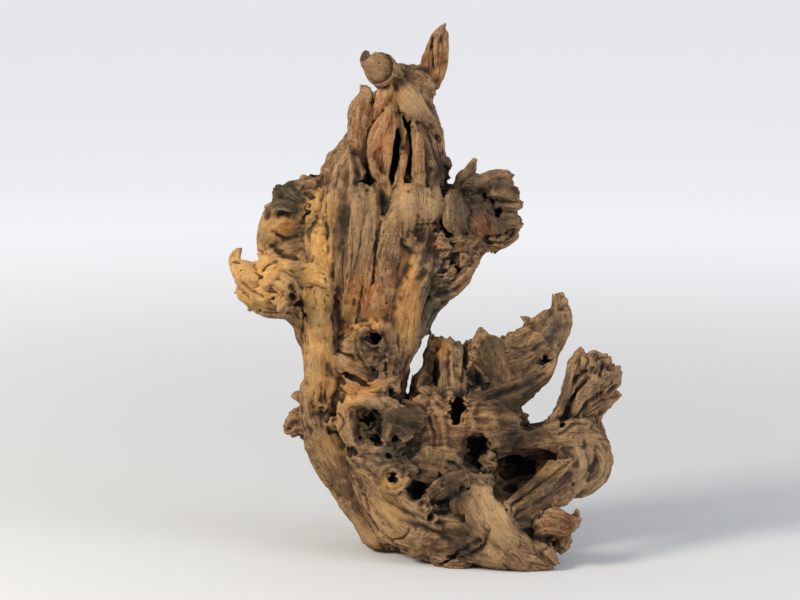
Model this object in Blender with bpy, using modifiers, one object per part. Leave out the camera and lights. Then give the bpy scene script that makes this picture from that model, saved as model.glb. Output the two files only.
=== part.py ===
"""A dry, weathered root that stands on its own base, grown as one piece: one closed solid.

Trunk, arms, knobs, flakes and feet are limbs: smooth curves with a radius, lofted and grown
together. Hollows are cut out of them, and ridges along the grain, lumps and creases are raised on
the result by formula. Sizes are in metres, +Z is up, and the near side faces -Y.
"""

import math
import random

import bmesh
import bpy
import numpy as np
from mathutils import kdtree, noise

# driving dimensions, in metres
SQUARE = 0.0015               # one square of the drawing that the limbs are set out on
VIEW_DISTANCE = 4.5           # the drawing is a view from this far away
VIEW_DOWN = math.radians(8.0)  # and looks down on the root by this much
FLUTE_WIDTH, FLUTE_HEIGHT = 0.022, 0.0032    # broad ridges that run along the grain
FIBRE_WIDTH, FIBRE_HEIGHT = 0.010, 0.0016    # narrow ridges between them
SCOOP_WIDTH, SCOOP_HEIGHT = 0.038, 0.0042    # worn hollows with crisp edges between them
LUMP_WIDTH, LUMP_HEIGHT = 0.060, 0.0030      # swellings that follow no grain
BUMP_WIDTH, BUMP_HEIGHT = 0.018, 0.0022
SPLINTER_WIDTH, SPLINTER_REACH = 0.008, 0.011   # how far strands stick out where the wood is broken
CRUMBLE, CRUMBLE_WIDTH = 0.0022, 0.011       # how ragged every edge is
SAW_RADIUS = 0.026            # the sawn branch, past its bark side
CLEFT = 0.012                 # clefts between limbs narrower than this are grown over
LIMB_ROUGHNESS, LIMB_ROUGH_WIDTH = 0.0022, 0.024      # how far the limbs' skins are bent
HOLLOW_ROUGHNESS, HOLLOW_ROUGH_WIDTH = 0.0024, 0.015  # and those of the hollows
GRAIN_STRETCH = 6.0           # how many times longer than wide a ridge is
SLIM_LIMB = 0.016             # limbs of a smaller radius carry lower ridges
WANDER = 0.006                # how far a ridge strays from a straight line
VOXEL = 0.004                 # grid that the limbs are grown together on
TRIANGLES = 11000             # faces of the finished solid

# the drawing: squares across and down from its top left corner, and back from its middle plane
SHEET_MIDDLE = (400, 300)
FRONT_FOOT = (550, 572, -90)  # the lowest point of the near foot stands on the ground
ORIGIN_ACROSS, ORIGIN_BACK = 424.8, 2.9   # the middle of the root's box

PATH_STEP = 0.004             # along a limb, from ring to ring
LIMB_SIDES = 40
HOLLOW_SIDES = 28
THINNEST = 0.0006             # a limb's tip is never thinner than this
NEARLY_STRAIGHT_BACK = 0.94   # a limb that starts this nearly along +Y takes its depth upwards
TWIST = 14.0                  # radians a metre that a limb's flutes may turn
FLUTES = ((2, 0.5), (3, 0.6), (5, 0.55), (8, 0.4), (13, 0.25))   # how many round a limb, and their share
DOME = ((0.20, 0.92), (0.34, 0.70), (0.42, 0.36))   # how far out and how wide the rings of a limb's end are
GRAIN_SEED = 7
GRAIN_STEP = 0.006
GRAIN_NEAR = 14               # centre-line rows looked at for each point
WANDER_WIDTH = 0.05
SLIMMEST = 0.15
SCOOP_STRETCH = 2.2
SPLINTER_STRETCH = 10
SAW_MIDDLE, SAW_DEPTH = (376, 67), -9     # on the drawing
CALM_WIDTH = 0.11             # the grain is faint in broad patches
CALM_AT_LEAST, CALM_GAIN = 0.35, 0.9
SMOOTH_SHARE, ROUGH_SHARE = 0.18, 0.85    # how much of the relief shows where it is calm, and on top of it
CREST, SCOOP_CREST = 0.5, 0.35            # how high a ridge's crest stands over the mean surface
FACING_GAIN = 1.6             # creases fade where the surface turns away from the drawing
GROUND_SIZE = (2.0, 2.0, 0.2)

# name: (thickness front to back over width, fluting, [(across, down, depth, radius), ...])
LIMBS = {
    # trunk and base
    "trunk_core": (0.80, 0.10, [(402, 526, 8, 44), (380, 462, 18, 54), (361, 405, 26, 48),
        (360, 345, 30, 46), (371, 290, 30, 50), (384, 240, 30, 54), (392, 195, 30, 48),
        (396, 150, 28, 40), (396, 112, 26, 32), (402, 92, 26, 22)]),
    "left_face": (0.60, 0.06, [(319, 207, -4, 6), (316, 235, -6, 14), (314, 270, -8, 17),
        (316, 320, -6, 17), (322, 370, -2, 17), (319, 410, -2, 19), (335, 455, -4, 24),
        (362, 500, -8, 20), (380, 526, -6, 18)]),
    "base_bulge": (0.9, 0.06, [(334, 412, 20, 30), (342, 445, 12, 29), (364, 484, 5, 29),
        (388, 508, 4, 30), (404, 526, 0, 22)]),
    "base_sole": (0.8, 0.06, [(366, 526, 40, 12), (376, 533, 40, 15), (392, 537, 24, 16),
        (410, 543, 0, 16), (428, 550, -26, 16)]),
    "base_lobe": (0.55, 0.05, [(376, 498, -26, 8), (385, 512, -30, 15), (396, 526, -32, 13),
        (404, 533, -30, 6)]),
    "base_skin": (0.5, 0.05, [(352, 462, -14, 16), (378, 476, -26, 22), (402, 500, -36, 26),
        (424, 520, -44, 22), (442, 540, -52, 16)]),
    "base_mid": (0.8, 0.06, [(372, 442, -8, 30), (395, 485, -25, 38), (425, 520, -40, 38),
        (455, 540, -50, 28)]),
    "base_front": (0.8, 0.08, [(395, 520, -20, 26), (430, 535, -45, 26), (470, 545, -65, 22),
        (505, 552, -80, 18)]),
    "base_rear": (0.8, 0.10, [(385, 500, 40, 46), (430, 505, 35, 48), (480, 500, 20, 44),
        (525, 500, 0, 30)]),
    # head
    "head_mass": (0.85, 0.05, [(390, 76, 22, 15), (404, 84, 22, 20.5), (416, 88, 22, 22),
        (422, 98, 24, 16)]),
    "sawn_branch": (1.0, 0.08, [(408, 88, 36, 16), (396, 80, 22, 15), (385, 73, 4, 15),
        (376, 67, -14, 14.5)]),
    "neck_right": (0.9, 0.06, [(424, 80, 24, 11), (419, 96, 26, 16), (419, 112, 28, 17),
        (423, 130, 28, 19), (422, 150, 28, 18), (426, 172, 28, 18), (428, 200, 26, 18)]),
    "neck_ridge": (0.8, 0.04, [(392, 82, 8, 7), (402, 92, 2, 11), (414, 106, 2, 12), (427, 120, 8, 10),
        (437, 134, 16, 6)]),
    # middle trunk plates
    "shoulder": (0.75, 0.03, [(348.5, 145, 0, 1.4), (347, 155, -5, 5.5), (343, 172, -8, 11),
        (338, 200, -9, 13), (331, 228, -7, 10), (328, 250, -5, 7)]),
    "valley_fill": (0.5, 0.03, [(357, 176, -4, 10), (350, 198, -9, 12), (344, 228, -11, 13),
        (341, 256, -11, 13), (340, 284, -8, 11), (338, 300, -4, 7)]),
    "back_slope": (0.9, 0.05, [(356, 126, 26, 8), (353, 146, 28, 14), (345, 168, 30, 20),
        (338, 200, 30, 28), (334, 240, 28, 30)]),
    "plate_left": (0.4, 0.03, [(365, 186, -14, 8), (364, 194, -18, 13), (364, 214, -21, 15),
        (363, 242, -22, 16), (359, 270, -20, 13), (351, 298, -13, 9), (345, 322, -5, 4)]),
    "plate_centre": (0.5, 0.03, [(404.5, 174, -13, 1.6), (402.5, 186, -18, 4.5), (399, 202, -22, 7),
        (394, 216, -24, 10), (386, 236, -25, 15), (380, 260, -24, 19), (378, 288, -20, 20),
        (378, 318, -12, 18), (376, 345, -4, 12)]),
    "plate_right": (0.28, 0.04, [(410, 185, -16, 9), (409, 196, -20, 15), (408, 212, -23, 18),
        (408, 224, -21, 16)]),
    "plate_mid": (0.28, 0.03, [(421, 190, -15, 9), (421, 202, -20, 16), (420, 214, -22, 18),
        (419, 223, -20, 14)]),
    "plate_far": (0.28, 0.04, [(434, 191, -11, 8), (432, 201, -16, 13), (431, 212, -18, 14),
        (430, 221, -16, 11)]),
    "face_right": (0.6, 0.08, [(430, 222, -8, 14), (424, 240, -6, 18), (415, 265, -12, 21),
        (404, 300, -13, 21), (398, 335, -8, 20), (390, 365, -2, 14)]),
    "knot_mound": (0.6, 0.03, [(352, 347, -10, 14), (366, 346, -16, 19), (380, 349, -16, 19),
        (391, 352, -9, 12)]),
    "knot_lower": (0.7, 0.10, [(342, 358, -10, 9), (350, 368, -14, 11), (366, 377, -14, 9),
        (380, 384, -12, 6)]),
    "low_front": (0.6, 0.08, [(386, 322, -12, 16), (386, 346, -13, 16), (386, 370, -12, 12),
        (391, 392, -8, 10)]),
    "right_wall": (0.9, 0.08, [(436, 282, 20, 23), (422, 312, 22, 17), (413, 338, 22, 12),
        (402, 362, 22, 9), (393, 388, 18, 9), (396, 412, 10, 10)]),
    # left arm and knobs
    "arm_root": (0.85, 0.08, [(345, 230, 15, 34), (325, 225, 8, 26), (305, 212, 6, 20),
        (290, 205, 4, 18)]),
    "arm_fill": (0.8, 0.08, [(330, 248, 4, 24), (305, 248, 0, 18), (282, 252, -4, 14),
        (264, 256, -4, 9)]),
    "knob_bridge": (0.8, 0.10, [(318, 192, 6, 14), (302, 190, 6, 13), (288, 192, 6, 12)]),
    "knob_mass": (0.8, 0.06, [(306, 216, 4, 21), (290, 216, -2, 21), (277, 222, -6, 19),
        (270, 236, -4, 15), (264, 250, 0, 8)]),
    "gold_arm": (0.8, 0.04, [(332, 285, 6, 27), (308, 276, -2, 26), (285, 277, -10, 27),
        (264, 279, -14, 25), (249, 275, -12, 17), (239, 267, -8, 10)]),
    "gold_lip": (0.7, 0.10, [(240, 290, -6, 6), (252, 298, -10, 10), (268, 304, -12, 11),
        (284, 305, -12, 12), (296, 312, -6, 12), (306, 330, 4, 12), (314, 350, 10, 12)]),
    # right wing of the trunk
    "wing_low": (0.8, 0.08, [(425, 275, 12, 28), (445, 262, 6, 26), (462, 248, 2, 20),
        (476, 238, 0, 15)]),
    "wing_edge": (0.7, 0.10, [(440, 285, 8, 16), (455, 280, 2, 13), (466, 268, -2, 10),
        (474, 254, -4, 9), (480, 246, -2, 7)]),
    "wing_neck": (0.8, 0.10, [(435, 215, 14, 24), (452, 210, 10, 20), (470, 212, 6, 20),
        (488, 215, 2, 18)]),
    "wing_back": (0.35, 0.08, [(470, 205, 14, 20), (488, 210, 12, 22), (504, 212, 10, 18),
        (514, 214, 8, 10)]),
    "wing_tail": (0.5, 0.10, [(468, 232, 2, 12), (480, 234, 0, 14), (496, 236, -2, 15),
        (508, 234, -2, 11), (517, 229, -2, 6)]),
    # cluster, left part
    "web": (0.8, 0.06, [(402, 440, -5, 30), (430, 430, -12, 34), (460, 430, -18, 34),
        (490, 430, -20, 32), (512, 428, -18, 20)]),
    "web_low": (0.8, 0.06, [(424, 466, -22, 28), (444, 470, -28, 34), (464, 476, -32, 28),
        (482, 480, -38, 20)]),
    "pillar_a": (0.8, 0.10, [(437, 341, 14, 7), (431, 354, 12, 7), (430, 367, 10, 7), (421, 382, 6, 9),
        (421, 400, 2, 11), (430, 418, 0, 16)]),
    "pillar_b": (0.8, 0.06, [(447, 342, 10, 8), (451, 356, 2, 13), (453, 372, -4, 16),
        (454, 390, -8, 18), (456, 408, -8, 20)]),
    "pillar_c": (0.8, 0.14, [(469, 341, 12, 6), (472, 356, 6, 10), (478, 376, 2, 13),
        (485, 400, -4, 15)]),
    "pillar_wall": (0.7, 0.08, [(441, 350, 26, 7), (438, 366, 24, 10), (434, 386, 20, 12),
        (436, 404, 14, 16)]),
    "fan": (0.6, 0.03, [(482, 357, -4, 15), (500, 359, -7, 21), (518, 355, -7, 23),
        (536, 346, -5, 23)]),
    "arm_up": (0.75, 0.04, [(500, 385, 4, 22), (518, 368, 2, 25), (534, 348, 2, 26), (548, 332, 2, 22),
        (558, 318, 4, 15), (560, 308, 4, 9), (559, 298, 4, 7.5), (559, 294, 4, 6.5)]),
    "arm_low": (0.6, 0.06, [(482, 398, -8, 20), (508, 390, -10, 19), (528, 380, -10, 16),
        (546, 370, -8, 11), (551, 366, -7, 7)]),
    # cluster, right part
    "saddle": (0.9, 0.06, [(505, 442, -10, 22), (525, 442, -10, 16), (540, 440, -10, 13),
        (556, 432, -8, 14)]),
    "saddle_left": (0.8, 0.10, [(506, 398, -8, 13), (509, 418, -8, 14), (516, 436, -8, 14)]),
    "arm_right": (0.7, 0.12, [(556, 432, -4, 12), (570, 412, -4, 15), (581, 392, -4, 19),
        (591, 376, -4, 23), (597, 366, -4, 16)]),
    "fin_root": (0.7, 0.10, [(590, 402, 2, 12), (588, 422, 2, 12), (586, 440, 2, 12)]),
    "hand_back": (0.4, 0.08, [(515, 452, 0, 24), (545, 452, 2, 28), (575, 452, 2, 24)]),
    "slab_right": (0.5, 0.05, [(574, 446, -14, 18), (588, 454, -12, 22), (591, 468, -14, 21),
        (580, 480, -20, 18), (562, 490, -32, 12)]),
    "slab_left": (0.5, 0.05, [(566, 448, -28, 12), (572, 462, -30, 16), (566, 478, -36, 14),
        (548, 492, -46, 12)]),
    "rib_upper": (0.45, 0.05, [(500, 448, -30, 5), (516, 442, -32, 8), (538, 438, -30, 12),
        (562, 437, -24, 18), (584, 438, -14, 18), (598, 440, -6, 12)]),
    "rib_gold": (0.7, 0.05, [(507, 503, -66, 9), (521, 496, -68, 14), (538, 484, -64, 17),
        (554, 474, -56, 15), (564, 469, -48, 10)]),
    "rib_under": (0.8, 0.12, [(512, 520, -70, 10), (535, 505, -62, 14), (556, 490, -48, 16),
        (575, 474, -30, 16)]),
    # the pale ridge and the feet
    "pale_ridge": (0.5, 0.03, [(457, 474, -50, 11), (468, 488, -60, 17), (479, 506, -70, 22),
        (491, 528, -78, 26), (511, 548, -82, 22), (535, 560, -86, 13), (553, 566, -86, 5)]),
    "foot_right": (0.8, 0.08, [(500, 545, -70, 20), (525, 550, -74, 18), (545, 554, -78, 14),
        (556, 563, -84, 6)]),
    "foot_back": (0.8, 0.08, [(496, 522, -48, 22), (525, 522, -50, 18), (548, 528, -54, 14)]),
    "brow": (0.8, 0.14, [(348, 402, -18, 8), (364, 399, -24, 9), (382, 402, -28, 8),
        (396, 409, -30, 7)]),
    "cheek_low": (0.8, 0.12, [(350, 450, -22, 8), (366, 452, -28, 8), (384, 452, -32, 8),
        (398, 448, -34, 6)]),
    "mound_low": (0.8, 0.12, [(384, 486, -38, 12), (400, 492, -42, 14), (418, 494, -46, 14)]),
    # the far side
    "back_rib_a": (0.9, 0.12, [(404, 98, 42, 8), (411, 140, 52, 12), (402, 185, 60, 14),
        (388, 225, 66, 13), (392, 270, 66, 15), (380, 315, 64, 12), (366, 355, 60, 13),
        (372, 400, 58, 14), (362, 450, 58, 16), (376, 505, 62, 18)]),
    "back_rib_b": (0.9, 0.12, [(430, 150, 40, 9), (434, 190, 48, 12), (422, 235, 56, 13),
        (428, 275, 52, 11), (412, 310, 54, 14), (396, 345, 56, 12), (404, 385, 54, 14),
        (418, 430, 56, 18), (436, 470, 58, 20), (450, 512, 54, 16)]),
    "back_rib_c": (0.9, 0.12, [(354, 150, 42, 8), (342, 190, 50, 12), (346, 235, 56, 13),
        (334, 275, 54, 12), (344, 315, 56, 14), (336, 360, 50, 12), (331, 400, 46, 15),
        (342, 445, 50, 16), (354, 492, 52, 16)]),
    "back_wing": (0.7, 0.14, [(440, 205, 30, 18), (462, 205, 26, 16), (484, 200, 22, 14),
        (500, 196, 18, 10)]),
    "back_wing_low": (0.7, 0.14, [(436, 262, 34, 20), (454, 246, 28, 16), (470, 232, 22, 12),
        (490, 228, 18, 12)]),
    "back_arm_left": (0.8, 0.14, [(340, 260, 44, 18), (312, 262, 30, 18), (284, 266, 16, 16),
        (262, 268, 8, 12)]),
    "back_knob_left": (0.8, 0.14, [(336, 208, 44, 16), (310, 206, 30, 16), (288, 210, 22, 13),
        (276, 218, 16, 10)]),
    "back_sweep_a": (0.8, 0.14, [(412, 448, 44, 18), (440, 438, 46, 17), (474, 446, 40, 15),
        (508, 440, 32, 14), (540, 434, 20, 12), (566, 418, 10, 9)]),
    "back_sweep_b": (0.8, 0.14, [(420, 496, 52, 20), (458, 482, 52, 18), (496, 480, 44, 16),
        (534, 472, 28, 15), (566, 464, 14, 13), (590, 452, 6, 9)]),
    "back_sweep_c": (0.8, 0.14, [(440, 420, 36, 18), (462, 402, 36, 16), (490, 390, 28, 14),
        (514, 374, 22, 12), (540, 352, 18, 11), (554, 330, 14, 8)]),
    "back_sweep_d": (0.8, 0.14, [(446, 404, 34, 14), (450, 382, 32, 11), (446, 360, 28, 8),
        (449, 346, 24, 4)]),
    "back_sweep_e": (0.8, 0.14, [(560, 440, 12, 12), (574, 415, 12, 12), (588, 396, 10, 13),
        (600, 380, 8, 9)]),
    "cave_wall": (0.5, 0.08, [(455, 462, 26, 26), (490, 460, 22, 26), (520, 458, 18, 24),
        (548, 452, 14, 18)]),
    "base_back": (0.8, 0.10, [(400, 512, 44, 28), (434, 518, 42, 30), (470, 515, 34, 28),
        (505, 520, 10, 24), (530, 530, -20, 20)]),
    "back_foot_left": (0.9, 0.10, [(378, 480, 40, 24), (386, 505, 46, 20), (390, 524, 56, 15)]),
    "back_foot_right": (0.9, 0.12, [(480, 490, 40, 24), (496, 512, 46, 17), (506, 530, 52, 12)]),
}

# the flakes, ribs, spikes and knobs that stand out sharply from them, in the same terms
FLAKES = {
    # head
    "broken_nub": (0.8, 0.06, [(378, 67, 16, 9), (369, 63, 12, 8.5), (366.5, 59, 10, 7.5),
        (366.5, 58, 10, 7.5)]),
    "ear": (0.5, 0.05, [(426, 96, 26, 10), (430, 82, 26, 10.5), (434, 71, 24, 13.5),
        (434.5, 61, 23, 15), (436, 50, 21, 13.6), (439.5, 38, 19, 10.4), (443, 30, 17, 6.6),
        (446, 25, 15, 3.2), (446.8, 21.3, 15, 1)]),
    # upper trunk flakes, left to right
    "peg_left": (0.8, 0.12, [(366, 100, 12, 7), (364, 92, 9, 5.5), (362, 86, 8, 3.5)]),
    "flake_left": (0.5, 0.06, [(371, 92, 4, 7), (363, 102, 2, 11.5), (358, 118, 0, 11),
        (357, 136, -2, 10), (360, 150, -3, 7), (362.5, 162, -4, 2)]),
    "flake_inner": (0.6, 0.08, [(374, 104, 0, 4), (370, 116, -2, 5), (369, 128, -3, 4),
        (370, 136, -4, 2)]),
    "flake_step": (0.6, 0.06, [(350, 150, -2, 2), (356, 162, -6, 6), (362, 174, -9, 7),
        (366, 186, -12, 5)]),
    "flake_top": (0.7, 0.10, [(388, 84, 2, 7), (386, 95, -3, 8), (381, 106, -4, 7), (376, 118, -2, 4)]),
    "flake_top_right": (0.8, 0.12, [(392, 88, 2, 6), (393, 98, -3, 6), (395, 110, -3, 3)]),
    "red_flake": (0.5, 0.05, [(391, 106, -8, 3), (388.5, 113, -12, 5), (384, 124, -15, 8),
        (378, 136, -16, 9), (373, 148, -16, 6), (372, 159, -15, 4.5), (375, 170, -13, 4.5),
        (378, 178, -11, 3)]),
    "red_edge": (0.6, 0.05, [(391, 109, -11, 3), (391, 122, -14, 4), (389, 136, -17, 6),
        (387.5, 148, -19, 6), (387, 160, -19, 5), (386.5, 171, -18, 2)]),
    "red_spur": (0.4, 0.03, [(380, 169, -12, 1.5), (382, 178, -11, 5), (384, 190, -6, 8),
        (385, 204, -3, 9), (384, 222, -4, 7)]),
    "needle": (0.7, 0.06, [(404, 115, -2, 2), (404.5, 126, -4, 3.5), (404, 140, -5, 3.5),
        (404, 152, -6, 3)]),
    "needle_side": (0.5, 0.06, [(402.5, 150, -9, 4), (401.5, 158, -11, 6.5), (400, 170, -12, 6),
        (398, 182, -12, 4), (397, 192, -12, 1.5)]),
    "finger": (0.8, 0.03, [(417.5, 136, -9, 5.5), (418.5, 144, -12, 7), (419, 158, -13, 7),
        (418.5, 172, -13, 7), (419, 186, -12, 7)]),
    "finger_side": (0.6, 0.06, [(411, 121, -2, 1.5), (413.5, 128, -4, 4), (415, 138, -5, 4)]),
    "rib_right": (0.8, 0.08, [(411, 118, 4, 3), (424, 136, 4, 6), (429, 156, 2, 7), (431, 176, 0, 8),
        (434, 192, -4, 8)]),
    "rib_thin": (0.8, 0.08, [(428, 128, 8, 3), (434, 146, 6, 5), (437, 164, 6, 6), (440, 182, 2, 6)]),
    "rib_far_right": (0.9, 0.06, [(438, 130, 20, 5), (439, 150, 16, 6), (438, 165, 14, 7)]),
    "back_flange": (0.4, 0.06, [(434, 162, 20, 9), (441, 170, 19, 12), (446, 178, 19, 8),
        (452, 178, 19, 2)]),
    # middle trunk plates
    "shoulder_edge": (1.4, 0.03, [(349, 147, -4, 1.6), (350.5, 162, -11, 3.4), (351, 178, -15, 4),
        (349, 200, -16, 4), (345, 226, -14, 3)]),
    "shoulder_side": (0.8, 0.10, [(330, 172, 4, 6), (328, 188, 0, 10), (322, 206, -2, 11),
        (318, 224, -2, 12)]),
    "plate_step": (0.7, 0.10, [(398, 232, -20, 6), (410, 240, -18, 8), (418, 256, -16, 9),
        (420, 276, -14, 8)]),
    "gold_ridge": (0.9, 0.05, [(411, 264, -14, 3), (410, 288, -19, 6), (409, 313, -18, 7),
        (410, 336, -12, 5), (411, 350, -4, 2)]),
    "shelf": (0.8, 0.12, [(346, 384, -12, 8), (362, 391, -18, 9), (378, 388, -22, 9),
        (391, 381, -22, 6), (397, 390, -20, 5)]),
    "eye_ring": (0.8, 0.05, [(360, 362, -18, 3), (356, 351, -20, 4), (359, 338, -21, 4),
        (367, 330, -21, 4), (379, 329, -21, 4), (387, 337, -20, 4), (389, 348, -19, 4),
        (384, 359, -18, 3.4), (375, 365, -18, 3)]),
    "wall_rib": (0.9, 0.10, [(440, 292, 6, 8), (428, 306, 4, 7), (420, 324, 4, 6), (414, 346, 6, 5),
        (405, 368, 6, 4)]),
    "wall_nub": (0.8, 0.12, [(420, 322, 10, 6), (424, 332, 10, 5), (422, 340, 10, 3)]),
    # left arm and knobs
    "back_chunk": (0.8, 0.12, [(330, 182, 12, 10), (318, 180, 6, 9), (308, 180, 4, 7),
        (304, 177, 4, 4)]),
    "grey_knob": (0.8, 0.12, [(302, 204, 2, 12), (291, 199, -4, 14), (283, 193, -4, 13),
        (281, 188, -2, 9)]),
    "grey_knob_b": (0.8, 0.12, [(294, 210, -14, 8), (281, 206, -17, 10), (270, 210, -10, 9)]),
    "knob_top": (0.8, 0.12, [(306, 186, 2, 7), (300, 192, -4, 7), (296, 200, -10, 6)]),
    "horn": (0.7, 0.08, [(246, 276, -6, 12), (236, 266, -4, 8), (236, 257, -3, 6.5),
        (240, 250, -3, 3.5), (241, 247, -3, 1.5)]),
    "gold_knot": (0.8, 0.10, [(266, 277, -30, 10), (280, 281, -35, 12), (290, 293, -34, 12),
        (282, 306, -30, 10)]),
    "gold_spurs": (0.8, 0.10, [(242, 288, -4, 6), (236, 291, -2, 2)]),
    "gold_spur_low": (0.8, 0.10, [(256, 304, -6, 7), (249, 310, -4, 2.5)]),
    # low left nubs
    "nub_high": (0.9, 0.08, [(310, 398, 14, 8), (301, 396, 12, 6.5), (297, 396, 12, 5)]),
    "nub_low": (0.9, 0.10, [(316, 424, 14, 20), (300, 423, 14, 15), (291, 428, 12, 10)]),
    # right wing of the trunk
    "wing_leaf": (0.45, 0.05, [(461, 190, -6, 3), (455, 198, -11, 9), (455, 212, -14, 13),
        (458, 228, -13, 11)]),
    "wing_plate": (0.5, 0.08, [(470, 214, -8, 6), (476, 222, -12, 11), (482, 230, -11, 10),
        (484, 240, -7, 5)]),
    "wing_plate_b": (0.5, 0.08, [(486, 209, -8, 4), (488, 218, -11, 7), (489, 228, -10, 7),
        (486, 237, -7, 4)]),
    "wing_roll": (0.8, 0.14, [(430, 246, -10, 8), (438, 241, -13, 7), (446, 244, -14, 5)]),
    "wing_roll_far": (0.8, 0.14, [(452, 240, -13, 4), (460, 238, -12, 6), (470, 241, -8, 6),
        (484, 246, -4, 5)]),
    "wing_rim": (0.8, 0.12, [(470, 246, -6, 6), (474, 258, -6, 7), (466, 272, -6, 7), (452, 284, -4, 7),
        (440, 288, 2, 6)]),
    "wing_inner": (0.9, 0.14, [(446, 262, -8, 6), (454, 270, -8, 6), (462, 264, -4, 5)]),
    "spike": (0.6, 0.05, [(450, 198, 12, 9), (458, 188, 10, 9), (466, 176, 9, 7.5), (472, 167, 8, 5.5),
        (476.5, 157, 8, 2.4)]),
    "wing_top": (0.7, 0.05, [(468, 186, 8, 10), (480, 185, 5, 11), (494, 181, 4, 10.5),
        (504, 179, 4, 9), (508, 178, 4, 8)]),
    "wing_lump_a": (0.9, 0.08, [(494, 190, -3, 10), (508, 193, -6, 11), (516, 197, -5, 8.5)]),
    "wing_lump_b": (0.9, 0.08, [(498, 203, -4, 8), (511, 205, -7, 9), (519, 205, -6, 6)]),
    "wing_lump_c": (0.9, 0.08, [(504, 222, -6, 9), (514, 222, -10, 9), (519, 222, -11, 7)]),
    "wing_fan": (0.5, 0.03, [(494, 220, -10, 8), (501, 233, -12, 11), (500, 245, -8, 7)]),
    "wing_tip": (0.5, 0.06, [(496, 236, 0, 11), (496, 246, 0, 6.5), (494, 255, 0, 1.2)]),
    # cluster, left part
    "pillar_nub_a": (0.8, 0.14, [(432, 352, 12, 7), (431, 342, 12, 5), (430, 338, 12, 3)]),
    "pillar_nub_b": (0.8, 0.14, [(442, 348, 8, 7), (444, 339, 10, 4.5)]),
    "pillar_nub_c": (0.8, 0.14, [(453, 352, 8, 7), (456, 343, 10, 4)]),
    "pillar_foot": (0.9, 0.10, [(420, 388, 4, 6), (427, 394, -4, 9), (438, 401, -10, 13),
        (450, 408, -14, 14)]),
    "peak": (0.6, 0.08, [(481, 324.5, 6, 1.6), (480.5, 334, 4, 6), (480, 344, 0, 11),
        (486, 358, -4, 13), (495, 374, -8, 12), (502, 390, -8, 10)]),
    "rough_boss": (0.8, 0.18, [(470, 366, -6, 8), (478, 378, -10, 12), (488, 390, -10, 10)]),
    "fan_plate": (0.3, 0.03, [(485, 341, -4, 11), (493, 351, -9, 21), (500, 366, -12, 19),
        (503, 380, -15, 11), (504, 388, -15, 3)]),
    "arm_ring": (0.8, 0.06, [(538, 350, -14, 5), (549, 349, -13, 5), (554, 357, -12, 5),
        (550, 367, -12, 4), (540, 373, -14, 4)]),
    "thorn": (0.7, 0.05, [(535, 328, 2, 9), (527, 321, 2, 5), (522, 317, 2, 1.5)]),
    "ledge": (0.8, 0.12, [(530, 340, -4, 9), (518, 337, -6, 8), (511, 334, -6, 4)]),
    "peg_top": (0.9, 0.06, [(560, 320, 0, 12), (559, 308, 2, 8), (558.5, 300, 2, 7.5),
        (558.5, 297, 2, 6)]),
    "peg_corner_a": (0.8, 0.08, [(556, 302, 2, 6), (553.5, 295, 2, 3), (552, 292, 2, 1.2)]),
    "peg_corner_b": (0.8, 0.08, [(562, 302, 0, 6), (565, 296, 0, 2.6)]),
    # cluster, right part
    "arm_rim": (0.8, 0.06, [(551, 427, -12, 6), (557, 413, -14, 8), (563, 398, -14, 8),
        (568, 381, -12, 8), (573, 366, -8, 8), (578, 358, -6, 6)]),
    "crown_a": (0.8, 0.12, [(578, 370, -2, 10), (580, 356, -4, 7), (581, 348, -4, 3.5),
        (581, 345, -4, 2)]),
    "crown_b": (0.8, 0.14, [(596, 370, -6, 15), (601, 360, -6, 9), (607, 356, -6, 4)]),
    "crown_d": (0.8, 0.14, [(588, 368, -6, 10), (592, 357, -6, 7), (598, 352, -4, 3)]),
    "crown_c": (0.8, 0.14, [(602, 382, -6, 17), (612, 377, -6, 12), (617, 370, -6, 6)]),
    "crown_lobe": (0.7, 0.06, [(585, 355, -14, 4), (588, 362, -18, 8), (590, 371, -16, 5)]),
    "crown_e": (0.8, 0.10, [(597, 362, -4, 6), (598.5, 354, -4, 2.6), (599, 350, -4, 1)]),
    "crown_f": (0.8, 0.10, [(606, 366, -4, 6), (611, 358, -4, 2.2)]),
    "crown_g": (0.8, 0.10, [(610, 374, -4, 7), (618, 369, -4, 4), (620, 368, -4, 2)]),
    "fin": (0.4, 0.10, [(578, 412, 0, 10), (592, 405, 0, 14), (606, 398, 0, 10), (618, 394, 0, 4)]),
    "slab_edge": (0.8, 0.14, [(593, 424, 2, 8), (601, 442, 0, 8), (604, 459, 0, 7.5), (599, 476, -4, 8),
        (588, 485, -8, 7)]),
    "rib_end": (0.9, 0.14, [(506, 503, -70, 7), (510, 505, -74, 5)]),
    # the pale ridge and the feet
    "foot_knob": (0.9, 0.08, [(540, 528, -66, 13), (552, 522, -74, 16), (564, 525, -72, 14),
        (575, 523, -66, 8)]),
    "foot_lump": (0.9, 0.12, [(513, 524, -74, 7), (520, 526, -78, 6), (527, 524, -74, 5)]),
    "foot_knob_low": (0.8, 0.14, [(556, 532, -62, 12), (560, 542, -60, 10), (556, 551, -60, 6)]),
    "knob_nub": (0.9, 0.12, [(572, 524, -64, 7), (575, 516, -62, 4.5), (575, 513, -62, 3)]),
    "fold_high": (0.45, 0.10, [(430, 500, -56, 6), (440, 490, -66, 11), (453, 482, -70, 12),
        (465, 476, -68, 7)]),
    "fold_wall": (0.6, 0.12, [(462, 484, -64, 6), (456, 500, -64, 7), (456, 518, -66, 7)]),
    "fold_inner": (0.6, 0.12, [(434, 512, -48, 8), (448, 508, -54, 8)]),
    "fold_low": (0.6, 0.12, [(434, 524, -56, 9), (452, 524, -68, 12), (472, 528, -76, 12),
        (482, 541, -76, 10), (472, 556, -72, 9)]),
    "toe": (0.9, 0.12, [(440, 552, -60, 13), (456, 558, -68, 11), (470, 556, -72, 10)]),
    "flap": (0.5, 0.10, [(384, 418, -26, 11), (398, 416, -33, 12), (412, 419, -35, 10),
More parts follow.
